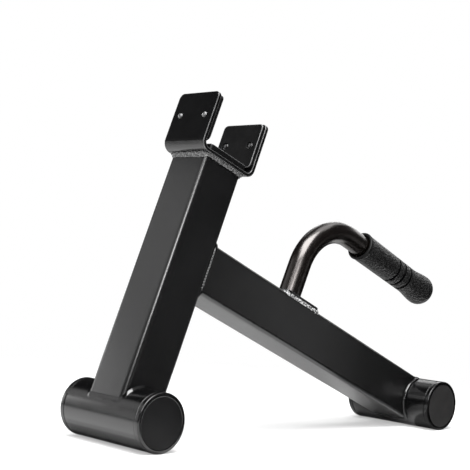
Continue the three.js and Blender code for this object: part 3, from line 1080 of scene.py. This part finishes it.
@dataclass
class Leg:
    """The sloping leg between the post's rear face and the rear foot.

    Attributes:
        layout: The jack's layout.
        bead: Leg of its welds.
        groove: How far round the post's corner the seam beside the leg reaches, from the side.
        thin: How much smaller the seam is than the fillets, as a share.
        gap: Clearance between the leg's end and the post.
    """

    layout: Layout
    bead: float = 3.2 * MM
    groove: float = math.radians(40)
    thin: float = 0.7
    gap: float = 0.1 * MM

    def build(self) -> None:
        """Makes the leg and its welds."""
        layout = self.layout
        piece = layout.tube("leg", lambda y: layout.post_face(y) - self.gap, 0.0, layout.leg_frame)
        # The leg's coat is painted paler than the post's: painted light.
        dress(piece, "leg_tube", Finish.LEG)
        weld = Bead("leg_foot_bead", "leg_foot_weld", 1 * MM, 0.16 * MM, seed=7.4)
        weld.lay(saddle_stations(layout, self.bead, 0.0), layout.leg_frame, Finish.BEAD)
        seam = Bead("leg_post_bead", "leg_post_weld", 0.4 * MM, 0.5 * MM, seed=11.8, pitch=3 * MM)
        seam.lay(self.seam_stations(), layout.leg_frame, Finish.BEAD)

    def seam_stations(self) -> list[BeadStation]:
        """Stations of the weld at the post: fillets above and below, a nearly flush seam at the sides.

        Returns:
            The stations.
        """
        layout, leg = self.layout, self.bead
        inset = layout.corner * (1 - math.cos(self.groove))
        sunk = layout.corner * (1 - math.sin(self.groove))
        stations = []
        for s in layout.square():
            flush = s.nx * s.nx
            root = Vector((s.x, s.y, layout.post_face(s.y)))
            on_leg = root - Vector((0, 0, leg * (1 - self.thin * flush)))
            fillet = Vector((s.x + s.nx * leg, s.y + s.ny * leg, layout.post_face(s.y + s.ny * leg)))
            seam = root + Vector((-s.nx * inset, 0, sunk))
            deep = root - Vector((s.nx, s.ny, 0)) * inset * flush
            stations.append(BeadStation(deep, fillet.lerp(seam, flush), on_leg))
        return stations


@dataclass
class Cradle:
    """The U bracket on the post with its pads and rivets.

    Attributes:
        layout: The jack's layout.
        width: Across the jack.
        depth: From wall to wall, outside.
        height: From the underside to the free edges.
        plate: Thickness of the bent plate.
        bend: Outer radius of its bends.
        corner: Rounding of the free corners.
        edge: Rounding of the plate's edges.
        edge_points: Points in that rounding.
        bend_steps: Steps in a bend and in a free corner.
        pad_width: Across the pads.
        pad_gap: Clearance behind the pads.
        pad_ease: Rounding of the pads' edges.
        pad_cut: Rounding of the recesses' edges.
        wall_pad: Thickness of the wall pads.
        wall_pad_height: Height of the wall pads.
        wall_pad_corner: Rounding of their corners.
        wall_pad_inset: From the bracket's free edge to the pad's.
        base_pad: Thickness of the base pad.
        base_pad_length: Length of the base pad.
        base_pad_corner: Rounding of its corners.
        recess_radius: Radius of the recess round a rivet's tail.
        recess: Depth of that recess.
        recess_sides: Number of its sides.
        rivet_spacing: Between a pad's two rivets.
        rivet_height: Height of the wall rivets above the underside.
        rivet_sides: Number of sides of a rivet.
        shank: Radius of a rivet's shank.
        pin: Radius within which a rivet is bright; further out it is coated.
        bead: Leg of the weld under the bracket.
        climb: How much higher the weld climbs the post's front and rear faces.
    """

    layout: Layout
    width: float = 57 * MM
    depth: float = 74 * MM
    height: float = 59.5 * MM
    plate: float = 4 * MM
    bend: float = 10 * MM
    corner: float = 6 * MM
    edge: float = 0.8 * MM
    edge_points: int = 5
    bend_steps: int = 12
    pad_width: float = 55.5 * MM
    pad_gap: float = 0.1 * MM
    pad_ease: float = 0.8 * MM
    pad_cut: float = 0.25 * MM
    wall_pad: float = 4 * MM
    wall_pad_height: float = 48 * MM
    wall_pad_corner: float = 5 * MM
    wall_pad_inset: float = 1.4 * MM
    base_pad: float = 5.5 * MM
    base_pad_length: float = 50 * MM
    base_pad_corner: float = 2.5 * MM
    recess_radius: float = 4 * MM
    recess: float = 1.9 * MM
    recess_sides: int = 48
    rivet_spacing: float = 35 * MM
    rivet_height: float = 34.5 * MM
    rivet_sides: int = 40
    shank: float = 2 * MM
    pin: float = 2.3 * MM
    bead: float = 3 * MM
    climb: float = 1.8 * MM

    def build(self) -> None:
        """Makes the bracket, its pads, their rivets and the weld."""
        place = self.layout.cradle_frame
        bracket = self.bracket().piece("cradle", place)
        steady(bracket)
        dress(bracket, "cradle_bracket", Finish.SLICK, Finish.WALL, Finish.RUBBED)
        for wall in Wall:
            self.build_pad(wall)
            for side in Side:
                self.build_rivet(wall, side)
        weld = Bead("cradle_bead", "cradle_weld", 0.5 * MM, 0.55 * MM, seed=1.7, passes=2)
        stations = flat_stations(self.layout.square(), self.bead, climb=self.climb)
        # The weld under the cradle carries painted sheen and glints.
        weld.lay(stations, place @ rotate(math.pi, "X"), Finish.ROUGH_BEAD)

    def along(self, run: float) -> tuple[Vector, Vector]:
        """A point of the front half of the bracket's outer face at X = 0.

        Args:
            run: Distance along the outer face from the front wall's free edge.

        Returns:
            The point, and the direction into the plate.
        """
        half, wall = self.depth / 2, self.height - self.bend
        if run <= wall:
            return Vector((0, -half, self.height - run)), Vector((0, 1, 0))
        swing = (run - wall) / self.bend
        if swing <= QUARTER:
            inward = Vector((0, math.cos(swing), math.sin(swing)))
            return Vector((0, self.bend - half, self.bend)) - inward * self.bend, inward
        return Vector((0, self.bend * (1 + swing - QUARTER) - half, 0)), Vector((0, 0, 1))

    def bracket(self) -> Skin:
        """The bent plate with its rounded free corners and edges.

        Returns:
            The skin.
        """
        wall, curve, steps = self.height - self.bend, self.bend * QUARTER, self.bend_steps
        total = 2 * (wall + curve) + self.depth - 2 * self.bend
        swings = [QUARTER * k / self.edge_points for k in range(self.edge_points)]
        runs = [self.edge * (1 - math.cos(swing)) for swing in swings]
        runs += [self.edge + (self.corner - self.edge) * (k / steps) ** 2 for k in range(1, steps + 1)]
        runs += [wall + curve * k / steps for k in range(steps + 1)]
        rings = []
        for run in runs:
            short = max(0.0, self.corner - run)
            half = self.width / 2 - self.corner + math.sqrt(self.corner**2 - short**2)
            thin = self.edge - math.sqrt(self.edge**2 - max(0.0, self.edge - run) ** 2)
            point, inward = self.along(run)
            middle = point + inward * self.plate / 2
            rings.append([middle + Vector((x, 0, 0)) + inward * y for x, y in self.section(half, thin)])
        mirror = Matrix.Scale(-1, 4, Vector((0, 1, 0)))
        rings += [[mirror @ point for point in ring] for ring in reversed(rings)]
        runs += [total - run for run in reversed(runs)]
        # The flat walls get the darker copy of the coat: painted shade.
        flat = wall + curve / 6
        skin = Skin().loft(rings, False, lambda index: int(not flat <= runs[index] < total - flat))
        # The rounded edges get the paler copy of the coat: painted highlight.
        end_faces = 2
        for face in range(len(skin.faces) - end_faces):
            if face % self.edge_points != self.edge_points - 1:
                skin.looks[face] = 2
        return skin

    def section(self, half: float, thin: float) -> Profile:
        """A cut across the bent plate.

        Args:
            half: Half its width.
            thin: How far the edges of the cut are drawn in.

        Returns:
            The cut's points round the middle of the plate, in four rounded corners.
        """
        points = []
        reach, rise, radius = half - self.edge, self.plate / 2 - self.edge, self.edge - thin
        for corner, (x, y) in enumerate(((reach, rise), (-reach, rise), (-reach, -rise), (reach, -rise))):
            for step in range(self.edge_points):
                swing = QUARTER * (corner + step / (self.edge_points - 1))
                points.append((x + radius * math.cos(swing), y + radius * math.sin(swing)))
        return points

    def against(self, wall: Wall, x: float, depth: float, height: float) -> Matrix:
        """A frame on one of the bracket's faces, its z into the cradle.

        Args:
            wall: Which face.
            x: Place across.
            depth: Depth below the face's outside.
            height: Height above the underside, for the two walls.

        Returns:
            From that frame to the row frame.
        """
        if wall is Wall.BASE:
            return self.layout.cradle_frame @ move(x, 0, depth)
        facing = -1 if wall is Wall.FRONT else 1
        face = move(x, facing * (self.depth / 2 - depth), height) @ rotate(facing * QUARTER, "X")
        return self.layout.cradle_frame @ face

    def build_pad(self, wall: Wall) -> None:
        """Makes one pad with the recesses of its rivets.

        Args:
            wall: Which face of the cradle it lies on.
        """
        thickness, length, corner = self.wall_pad, self.wall_pad_height, self.wall_pad_corner
        if wall is Wall.BASE:
            thickness, length, corner = self.base_pad, self.base_pad_length, self.base_pad_corner
        middle = self.height - self.wall_pad_inset - self.wall_pad_height / 2
        place = self.against(wall, 0, self.plate + self.pad_gap, middle)
        # The pad's rounded front edge gets the paler copy of the plastic: painted highlight.
        plate = rounded_plate(self.pad_width / 2, length / 2, corner, thickness, self.pad_ease, edge=1)
        piece = plate.piece(f"{wall.value}_pad", place)
        # Two empty slots keep the numbers of the finishes through the cut.
        piece.data.materials.append(None)
        piece.data.materials.append(None)
        low, high = thickness - self.recess, thickness + 1 * MM
        radius = self.recess_radius
        cutters = []
        for side in Side:
            spot = (place.inverted() @ self.rivet_frame(wall, side)).translation
            cutter = turned([(0, low), (radius, low), (radius, high), (0, high)], self.recess_sides)
            cutters.append(cutter.piece("recess", place @ move(spot.x, spot.y, 0)))
        bore(piece, cutters)
        soften(piece, self.pad_cut, angle=50, segments=2)
        dress(piece, f"cradle_{wall.value}_pad", Finish.PAD, Finish.PAD_EDGE)

    def rivet_frame(self, wall: Wall, side: Side) -> Matrix:
        """The frame of a rivet: on the plate's outer face, z into the plate."""
        return self.against(wall, side.value * self.rivet_spacing / 2, 0, self.rivet_height)

    def build_rivet(self, wall: Wall, side: Side) -> None:
        """Makes one blind rivet: a domed flange with the pin's bright end in it, and a tail in the pad.

        Args:
            wall: Which face of the cradle.
            side: Which of the two rivets.
        """
        tail = self.plate + (self.base_pad if wall is Wall.BASE else self.wall_pad)
        fine = 0.1 * MM
        # From the pin's end over the flange and along the shank to the tail.
        profile = eased([
            (0, -1.25 * MM, 0),
            (1.35 * MM, -1.2 * MM, TIGHT),
            (1.5 * MM, -0.85 * MM, fine),
            (1.7 * MM, -1.5 * MM, 0.25 * MM),
            (2.6 * MM, -1.1 * MM, 0.5 * MM),
            (3.3 * MM, -0.1 * MM, 0.25 * MM),
            (3.1 * MM, 0.05 * MM, fine),
            (self.shank, 0.05 * MM, fine),
            (self.shank, tail - 1.4 * MM, fine),
            (3.5 * MM, tail - 1.3 * MM, SLIGHT),
            (3.6 * MM, tail - 0.5 * MM, SOFT),
            (2.6 * MM, tail, SLIGHT),
            (1.4 * MM, tail - 0.2 * MM, TIGHT),
            (0, tail - 0.3 * MM, 0),
        ], steps=3)
        skin = turned(profile, self.rivet_sides, lambda index: int(profile[index][0] >= self.pin))
        piece = skin.piece(f"{wall.value}_rivet_{side.label}", self.rivet_frame(wall, side))
        dress(piece, f"{wall.value}_pad_rivet_{side.label}", Finish.RIVET, Finish.SLICK)


@dataclass
class Grip:
    """The moulded rubber grip: a lipped mouth, a tapering body with grooves, and a bulb.

    Attributes:
        length: From its mouth to its end.
        inner: Radius of its bore.
        end_wall: Thickness of its closed end.
        lip: Length of its lip.
        lip_radius: Radius of the lip.
        lip_root: Radius before and behind the lip's bulge.
        front: Radius behind the lip.
        neck: Radius before the bulb.
        flare: Length of the bulb, with the swell before it.
        bulb: Radius of the bulb.
        dome: Length of the bulb's rounded end.
        first_groove: From the mouth to the middle of the first groove.
        groove_pitch: From groove to groove.
        groove_width: Width of a groove.
        groove_depth: Depth of a groove.
        groove_floor: Width of a groove's floor, as a share of the groove's.
        grooves: Number of grooves.
        pebbled_from: Where the pebbled surface starts, behind the mouth.
        sides: Number of its sides.
    """

    length: float
    inner: float
    end_wall: float = 6 * MM
    lip: float = 4.8 * MM
    lip_radius: float = 16.5 * MM
    lip_root: float = 15.6 * MM
    front: float = 15.9 * MM
    neck: float = 15.1 * MM
    flare: float = 43 * MM
    bulb: float = 17.6 * MM
    dome: float = 15 * MM
    first_groove: float = 60.7 * MM
    groove_pitch: float = 11.6 * MM
    groove_width: float = 3.2 * MM
    groove_depth: float = 2 * MM
    groove_floor: float = 0.7
    grooves: int = 3
    pebbled_from: float = 2.7 * MM
    sides: int = 120

    @property
    def swell(self) -> float:
        """Where the swell before the bulb starts."""
        return self.length - self.flare

    def body(self, z: float) -> float:
        """Radius of the grip between its lip and its neck."""
        return self.front + (self.neck - self.front) * (z - self.lip) / (self.swell - self.lip)

    def profile(self) -> Profile:
        """The grip's profile.

        Returns:
            Its points, from the bore's end out over the mouth to the bulb's end.
        """
        inner, ease_steps, steps = self.inner, 4, 14
        mouth = [
            (0, self.length - self.end_wall, 0),
            (inner, self.length - self.end_wall, 0.5 * MM),
            (inner, 5 * MM, 2 * MM),
            (inner + 1.4 * MM, 0, SLIGHT),
            (self.lip_root, 0, 0.5 * MM),
            (self.lip_radius, 1 * MM, 0.6 * MM),
            (self.lip_radius, 2 * MM, SOFT),
            (self.lip_root, 2.6 * MM, 0.35 * MM),
            (16.1 * MM, 3.4 * MM, 0.5 * MM),
            (self.front, self.lip, 1 * MM),
        ]
        ribs = []
        half = self.groove_width / 2
        for groove in range(self.grooves):
            z = self.first_groove + groove * self.groove_pitch
            bottom, flat = self.body(z) - self.groove_depth, half * self.groove_floor
            ribs += [
                (self.body(z - half), z - half, TIGHT),
                (bottom, z - flat, TIGHT),
                (bottom, z + flat, TIGHT),
                (self.body(z + half), z + half, TIGHT),
            ]
        points = eased([*mouth, *ribs, (self.neck, self.swell - 1 * MM, 0)], ease_steps)
        widest = self.length - self.dome
        for step in range(1, steps + 1):
            t = step / steps
            ease = (1 - math.cos(math.pi * t)) / 2
            radius = self.neck + (self.bulb - self.neck) * ease
            points.append((radius, self.swell + (widest - self.swell) * t))
        for step in range(1, steps):
            swing = QUARTER * step / steps
            points.append((self.bulb * math.cos(swing), widest + self.dome * math.sin(swing)))
        points.append((0, self.length))
        return points

    def build(self, place: Matrix) -> None:
        """Makes the grip.

        Args:
            place: From its frame, z from the mouth to the end, to the row frame.
        """
        profile = self.profile()
        body_start = next(
            index for index, (radius, z) in enumerate(profile) if radius > self.neck and z > self.pebbled_from
        )
        before_swell, sunk = self.swell - 2 * MM, 0.15 * MM

        def look_at(index: int) -> int:
            """Which surface a point of the profile lies on.

            Args:
                index: The point's number.

            Returns:
                0 for the pebbled outside, 1 for the lip and the bore, 2 for a groove, which carries painted
                shade.
            """
            radius, z = profile[index]
            if index < body_start:
                return 1
            return 2 if z < before_swell and radius < self.body(z) - sunk else 0

        piece = turned(profile, self.sides, look_at).piece("grip", place)
        dress(piece, "handle_grip", Finish.GRIP, Finish.PLAIN_RUBBER, Finish.GROOVE)


@dataclass
class Handle:
    """The bent handle on the leg with its base plate, its welds and its grip.

    Attributes:
        layout: The jack's layout.
        radius: Radius of the tube.
        wall: The tube's wall.
        sides: Number of sides of the tube.
        cut_ease: Rounding of its cut ends.
        start: Height of its lower end over the base plate's thickness.
        riser: From the leg's top to the bend.
        bend: Radius of the bend on the tube's centre line.
        bend_steps: Steps in the bend.
        plate_length: Base plate along the leg.
        plate_width: Base plate across the leg.
        plate: Thickness of the base plate.
        plate_corner: Rounding of its corners.
        plate_ease: Rounding of its edges.
        plate_bead: Leg of the weld round it.
        plate_bead_inset: How far that weld stays inside the leg's sides.
        riser_bead: Leg of the weld round the tube.
        riser_steps: Steps of that weld round the tube.
        seat: Clearance under the base plate.
        offset: From the end of the bend to the grip's mouth.
        grip: Length of the grip.
        grip_play: Clearance between the tube and the grip's bore.
        short: From the tube's end to the grip's end.
    """

    layout: Layout
    radius: float = 12 * MM
    wall: float = 2 * MM
    sides: int = 72
    cut_ease: float = 0.3 * MM
    start: float = 0.2 * MM
    riser: float = 42.4 * MM
    bend: float = 60 * MM
    bend_steps: int = 40
    plate_length: float = 54 * MM
    plate_width: float = 47 * MM
    plate: float = 4 * MM
    plate_corner: float = 6 * MM
    plate_ease: float = 0.5 * MM
    plate_bead: float = 2.6 * MM
    plate_bead_inset: float = 0.45 * MM
    riser_bead: float = 2.4 * MM
    riser_steps: int = 190
    seat: float = 0.15 * MM
    offset: float = 20 * MM
    grip: float = 137 * MM
    grip_play: float = 0.35 * MM
    short: float = 6.3 * MM

    def build(self) -> None:
        """Makes the handle's pieces."""
        stand = self.layout.handle_frame
        upright = stand @ rotate(-QUARTER, "X")
        half_x, half_y = self.plate_width / 2, self.plate_length / 2
        plate = rounded_plate(half_x, half_y, self.plate_corner, self.plate, self.plate_ease)
        piece = plate.piece("handle_foot", upright @ move(0, 0, self.seat))
        steady(piece)
        dress(piece, "handle_base_plate", Finish.SLICK)
        tube = self.tube().piece("bent_handle", stand)
        soften(tube, self.cut_ease, angle=55)
        dress(tube, "handle_tube", Finish.GLOSS)
        outline = rounded_outline(half_x, half_y, self.plate_corner, BEAD_STEP)
        limit = self.layout.half - self.plate_bead_inset
        stations = flat_stations(outline, self.plate_bead, self.leg_top, limit)
        weld = Bead("plate_bead", "handle_plate_weld", 0.4 * MM, 0.5 * MM, seed=5.2)
        # The weld round the base plate carries a painted highlight and glints.
        weld.lay(stations, upright, Finish.BARE_BEAD)
        collar = Bead("riser_bead", "handle_riser_weld", 0.4 * MM, 0.26 * MM, seed=9.6)
        stations = flat_stations(circle_outline(self.radius, self.riser_steps), self.riser_bead)
        collar.lay(stations, upright @ move(0, 0, self.plate + self.seat), Finish.BEAD)
        mouth = stand @ move(0, self.riser + self.bend, -self.bend - self.offset)
        Grip(self.grip, self.radius + self.grip_play).build(mouth @ rotate(math.pi, "X"))

    def leg_top(self, x: float) -> float:
        """Height of the leg's skin above its flat top.

        Args:
            x: Place across the leg.

        Returns:
            The height, 0 on the flat and less on the rounded edges.
        """
        corner = self.layout.corner
        past = min(max(abs(x) - (self.layout.half - corner), 0.0), corner)
        return math.sqrt(corner * corner - past * past) - corner

    def tube(self) -> Skin:
        """The bent tube, open at both ends.

        Returns:
            The skin.
        """
        stations = [(Vector((0, self.plate + self.start, 0)), Vector((0, 1, 0)))]
        for step in range(self.bend_steps + 1):
            swing = QUARTER * step / self.bend_steps
            rise, back = self.bend * math.sin(swing), self.bend * (1 - math.cos(swing))
            onward = Vector((0, math.cos(swing), -math.sin(swing)))
            stations.append((Vector((0, self.riser + rise, -back)), onward))
        last, onward = stations[-1]
        stations.append((last + onward * (self.offset + self.grip - self.short), onward))
        across = Vector((1, 0, 0))
        circle = circle_outline(1.0, self.sides)

        def ring(point: Vector, onward: Vector, radius: float) -> list[Vector]:
            """A ring round the tube's centre line."""
            up = onward.cross(across)
            return [point + across * (s.x * radius) + up * (s.y * radius) for s in circle]

        outside = [ring(point, onward, self.radius) for point, onward in stations]
        inside = [ring(point, onward, self.radius - self.wall) for point, onward in reversed(stations)]
        return Skin().loft(outside + inside, closed=True)


# The studio


@dataclass(frozen=True)
class Softbox:
    """A soft light that shines on the jack.

    Attributes:
        name: Its name.
        turn: Its direction from the jack, in degrees from +X towards +Y.
        rise: Its height above the horizon, in degrees.
        distance: How far it stands from the jack.
        width: Its width.
        height: Its height.
        glow: Its brightness, where white paper is 1.
    """

    name: str
    turn: float
    rise: float
    distance: float
    width: float
    height: float
    glow: float

    def build(self, target: Vector) -> None:
        """Makes the light.

        Args:
            target: What it faces.
        """
        turn, rise = math.radians(self.turn), math.radians(self.rise)
        out = Vector((math.cos(rise) * math.cos(turn), math.cos(rise) * math.sin(turn), math.sin(rise)))
        data = bpy.data.lights.new(self.name, "AREA")
        data.shape = "RECTANGLE"
        data.size, data.size_y = self.width, self.height
        data.energy = self.glow * math.pi * self.width * self.height
        light = bpy.data.objects.new(self.name, data)
        light.location = target + out * self.distance
        light.rotation_euler = (-out).to_track_quat("-Z", "Y").to_euler()
        light.visible_camera = False
        bpy.context.scene.collection.objects.link(light)


SOFTBOXES = (
    Softbox("key_softbox", -50, 66, 1.3, 1.05, 1.05, 16),
    Softbox("fill_overhead_rear", 75, 68, 1.2, 0.7, 0.6, 2.6),
    Softbox("edge_softbox", -42, 26, 1.1, 0.26, 0.26, 30),
    Softbox("edge_softbox_near", -24, 26, 1.1, 0.26, 0.26, 2.6),
    Softbox("edge_softbox_front", -60, 28, 1.1, 0.26, 0.26, 6.6),
    Softbox("front_fill", -104, 30, 1.1, 0.36, 0.36, 1.1),
    Softbox("left_fill_front", -126, 28, 1.1, 0.36, 0.36, 1.0),
    Softbox("left_fill", -147, 25, 1.1, 0.36, 0.36, 1.1),
    Softbox("left_floor_softbox", -150, 6, 1.1, 0.4, 0.36, 4.2),
    Softbox("front_floor_softbox", -125, 6, 1.1, 0.36, 0.36, 1.4),
    Softbox("back_softbox_near", 72, 22, 1.1, 0.3, 0.3, 1.0),
    Softbox("back_softbox", 92, 22, 1.1, 0.3, 0.3, 2.2),
    Softbox("back_softbox_far", 113, 24, 1.1, 0.3, 0.3, 3.0),
    Softbox("back_softbox_left", 132, 26, 1.1, 0.3, 0.3, 3.4),
    Softbox("back_fill_left", 148, 42, 1.1, 0.36, 0.36, 0.9),
    Softbox("back_fill_high", 108, 47, 1.1, 0.45, 0.36, 1.5),
)


@dataclass(frozen=True)
class Card:
    """A dull card beside the jack, seen only in the jack's reflections; one that lies on the floor is painted
    shade on the floor.

    Attributes:
        name: Its name.
        tone: Its darkest and palest grey.
        spots: Its corners in plan: two for a card that stands, or all round for one that lies.
        low: Height of its lower edge.
        high: Height of its upper edge, or nothing for a card that lies.
    """

    name: str
    tone: tuple[float, float]
    spots: tuple[tuple[float, float], ...]
    low: float = MM
    high: float | None = None

    def build(self) -> None:
        """Makes the card."""
        corners = [Vector((*spot, self.low)) for spot in self.spots]
        if self.high is not None:
            corners += [Vector((*spot, self.high)) for spot in reversed(self.spots)]
        skin = Skin()
        skin.face(skin.ring(corners))
        card = skin.piece(self.name, Matrix.Identity(4))
        nodes = Nodes(f"{self.name}_cloth")
        thread = 4 * MM
        weave = nodes.blend(nodes.spread(nodes.noise(thread)), *(grey(tone) for tone in self.tone))
        nodes.set(base_color=weave, roughness=1.0, specular_ior_level=0.0)
        card.data.materials.append(nodes.material)
        card.visible_camera = False
        card.visible_diffuse = False
        card.visible_shadow = False


# Where the cards beside the jack meet, in plan, from the rear to the front.
REAR_END, REAR_CORNER, SIDE_REAR = (-0.55, 0.56), (0.13, 0.5), (0.259, 0.344)
SIDE_FRONT, FRONT_END = (0.358, 0.224), (0.51, 0.04)
# Heights of a low and a high card.
LOW_CARD, HIGH_CARD = 0.2, 0.55

CARDS = (
    Card("black_side_card", (0.01, 0.02), (REAR_CORNER, SIDE_REAR), 0, HIGH_CARD),
    Card("grey_side_card", (0.23, 0.27), (SIDE_REAR, SIDE_FRONT), 0, LOW_CARD),
    Card("black_high_card", (0.01, 0.02), (SIDE_REAR, SIDE_FRONT), LOW_CARD, HIGH_CARD),
    Card("dark_side_card", (0.03, 0.04), (SIDE_FRONT, FRONT_END), 0, HIGH_CARD),
    Card("black_rear_card", (0.002, 0.004), (REAR_CORNER, REAR_END), 0, LOW_CARD),
    # The cards that lie on the floor paint the floor's shade and shadows into the jack's reflections; the
    # camera sees the white floor there.
    Card(
        "black_floor_card", (0.004, 0.008),
        ((0.12, -0.16), (0.51, -0.16), FRONT_END, REAR_CORNER, (0.065, 0.5), (0.065, 0.1), (0.12, 0.06)),
    ),
    Card("grey_foot_card", (0.2, 0.25), ((0.03, 0.08), (0.065, 0.1), (0.065, 0.5), (0.03, 0.5))),
    Card("dark_front_card", (0.3, 0.34), ((0.07, -0.21), (-0.12, -0.21), (-0.12, -0.24), (0.07, -0.24))),
    Card("grey_front_card", (0.55, 0.6), ((0.07, -0.24), (-0.12, -0.24), (-0.12, -0.25), (0.07, -0.25))),
    Card("grey_floor_card", (0.38, 0.42), ((-0.07, -0.1), (-0.07, 0.5), (-0.5, 0.5), (-0.5, -0.1))),
)


@dataclass
class Studio:
    """The pale floor, the soft lights and the camera.

    Attributes:
        layout: The jack's layout.
        aim: What the soft lights face.
        stand: The camera's place, its y from the front foot's axis.
        lens: The camera's focal length, in millimetres.
        film: The width of its film, in millimetres.
        yaw: The camera's turn from +Y towards -X, in degrees.
        pitch: Its tilt above the horizon, in degrees.
        roll: Its roll, in degrees.
        floor_half: Half the floor's width.
        floor_tone: The floor's darkest and palest grey.
        floor_cloud: Length of the clouds between them.
        floor_edge: Where the floor starts and ends to fade, from the middle.
        ambient: Brightness of the surroundings beside the softboxes.
        haze: How much of the white behind the floor shows through it, which lifts the shadows.
    """

    layout: Layout
    aim: tuple[float, float, float] = (0, -0.05, 0.12)
    stand: tuple[float, float, float] = (0.82333, -0.66253, 0.17323)
    lens: float = 87.356
    film: float = 36
    yaw: float = 46.128
    pitch: float = 1.414
    roll: float = 3.944
    floor_half: float = 2.5
    floor_tone: tuple[float, float] = (0.8, 0.83)
    floor_cloud: float = 0.5
    floor_edge: tuple[float, float] = (0.42, 0.75)
    ambient: float = 0.02
    haze: float = 0.42

    def build(self) -> None:
        """Makes the studio."""
        bpy.context.scene.view_settings.view_transform = "Standard"
        self.floor()
        for card in CARDS:
            card.build()
        self.sky()
        for softbox in SOFTBOXES:
            softbox.build(Vector(self.aim))
        self.camera()

    def floor(self) -> None:
        """Makes the pale floor, which fades out far from the jack."""
        skin = Skin()
        corners = ((-1, -1), (1, -1), (1, 1), (-1, 1))
        skin.face(skin.ring([Vector((x, y, 0)) * self.floor_half for x, y in corners]))
        floor = skin.piece("studio_floor", Matrix.Identity(4))
        nodes = Nodes("pale_studio_floor")
        clouds = nodes.spread(nodes.noise(self.floor_cloud))
        paper = nodes.blend(clouds, *(grey(tone) for tone in self.floor_tone))
        nodes.set(base_color=paper, roughness=0.9, specular_ior_level=0.1)
        reach = nodes.add("ShaderNodeVectorMath", operation="LENGTH")
        nodes.join(nodes.place, reach.inputs[0])
        start, stop = self.floor_edge
        fade = nodes.add(
            "ShaderNodeMapRange",
            interpolation_type="SMOOTHSTEP", from_min=start, from_max=stop, to_min=self.haze,
        )
        nodes.join(reach.outputs["Value"], fade.inputs["Value"])
        seen = nodes.add("ShaderNodeMath", operation="MULTIPLY")
        nodes.join(fade.outputs["Result"], seen.inputs[0])
        nodes.join(nodes.add("ShaderNodeLightPath").outputs["Is Camera Ray"], seen.inputs[1])
        mix = nodes.add("ShaderNodeMixShader")
        nodes.join(seen.outputs["Value"], mix.inputs[0])
        nodes.join(nodes.shader.outputs["BSDF"], mix.inputs[1])
        nodes.join(nodes.add("ShaderNodeBsdfTransparent").outputs["BSDF"], mix.inputs[2])
        nodes.join(mix.outputs["Shader"], nodes.tree.nodes["Material Output"].inputs["Surface"])
        floor.data.materials.append(nodes.material)

    def sky(self) -> None:
        """Makes the white behind the jack, which its reflections don't see."""
        world = bpy.data.worlds.new("studio")
        bpy.context.scene.world = world
        world.use_nodes = True
        tree = world.node_tree
        path = tree.nodes.new("ShaderNodeLightPath")
        dim = tree.nodes.new("ShaderNodeMapRange")
        dim.inputs["To Min"].default_value = self.ambient
        tree.links.new(path.outputs["Is Camera Ray"], dim.inputs["Value"])
        tree.links.new(dim.outputs["Result"], tree.nodes["Background"].inputs["Strength"])
        tree.nodes["Background"].inputs["Color"].default_value = (1, 1, 1, 1)

    def camera(self) -> None:
        """Makes the camera."""
        data = bpy.data.cameras.new("camera")
        data.lens = self.lens
        data.sensor_width = self.film
        camera = bpy.data.objects.new("camera", data)
        yaw, pitch, roll = (math.radians(angle) for angle in (self.yaw, self.pitch, self.roll))
        ahead = Vector((-math.sin(yaw) * math.cos(pitch), math.cos(yaw) * math.cos(pitch), math.sin(pitch)))
        level = Vector((math.cos(yaw), math.sin(yaw), 0))
        above = level.cross(ahead)
        right = level * math.cos(roll) + above * math.sin(roll)
        up = above * math.cos(roll) - level * math.sin(roll)
        matrix = Matrix((right, up, -ahead)).transposed().to_4x4()
        x, y, z = self.stand
        matrix.translation = Vector((x, self.layout.foot_axis[End.FRONT].y + y, z))
        camera.matrix_world = matrix
        bpy.context.scene.collection.objects.link(camera)
        bpy.context.scene.camera = camera


def main() -> None:
    """Builds the jack, part by part, and the studio round it."""
    logging.basicConfig(level=logging.INFO, format="%(name)s %(message)s")
    layout = Layout()
    feet = [Foot(layout, end) for end in End]
    for assembly in (*feet, Post(layout), Leg(layout), Cradle(layout), Handle(layout)):
        LOG.info("building the %s", type(assembly).__name__.lower())
        assembly.build()
    Studio(layout).build()


if __name__ == "__main__":
    main()
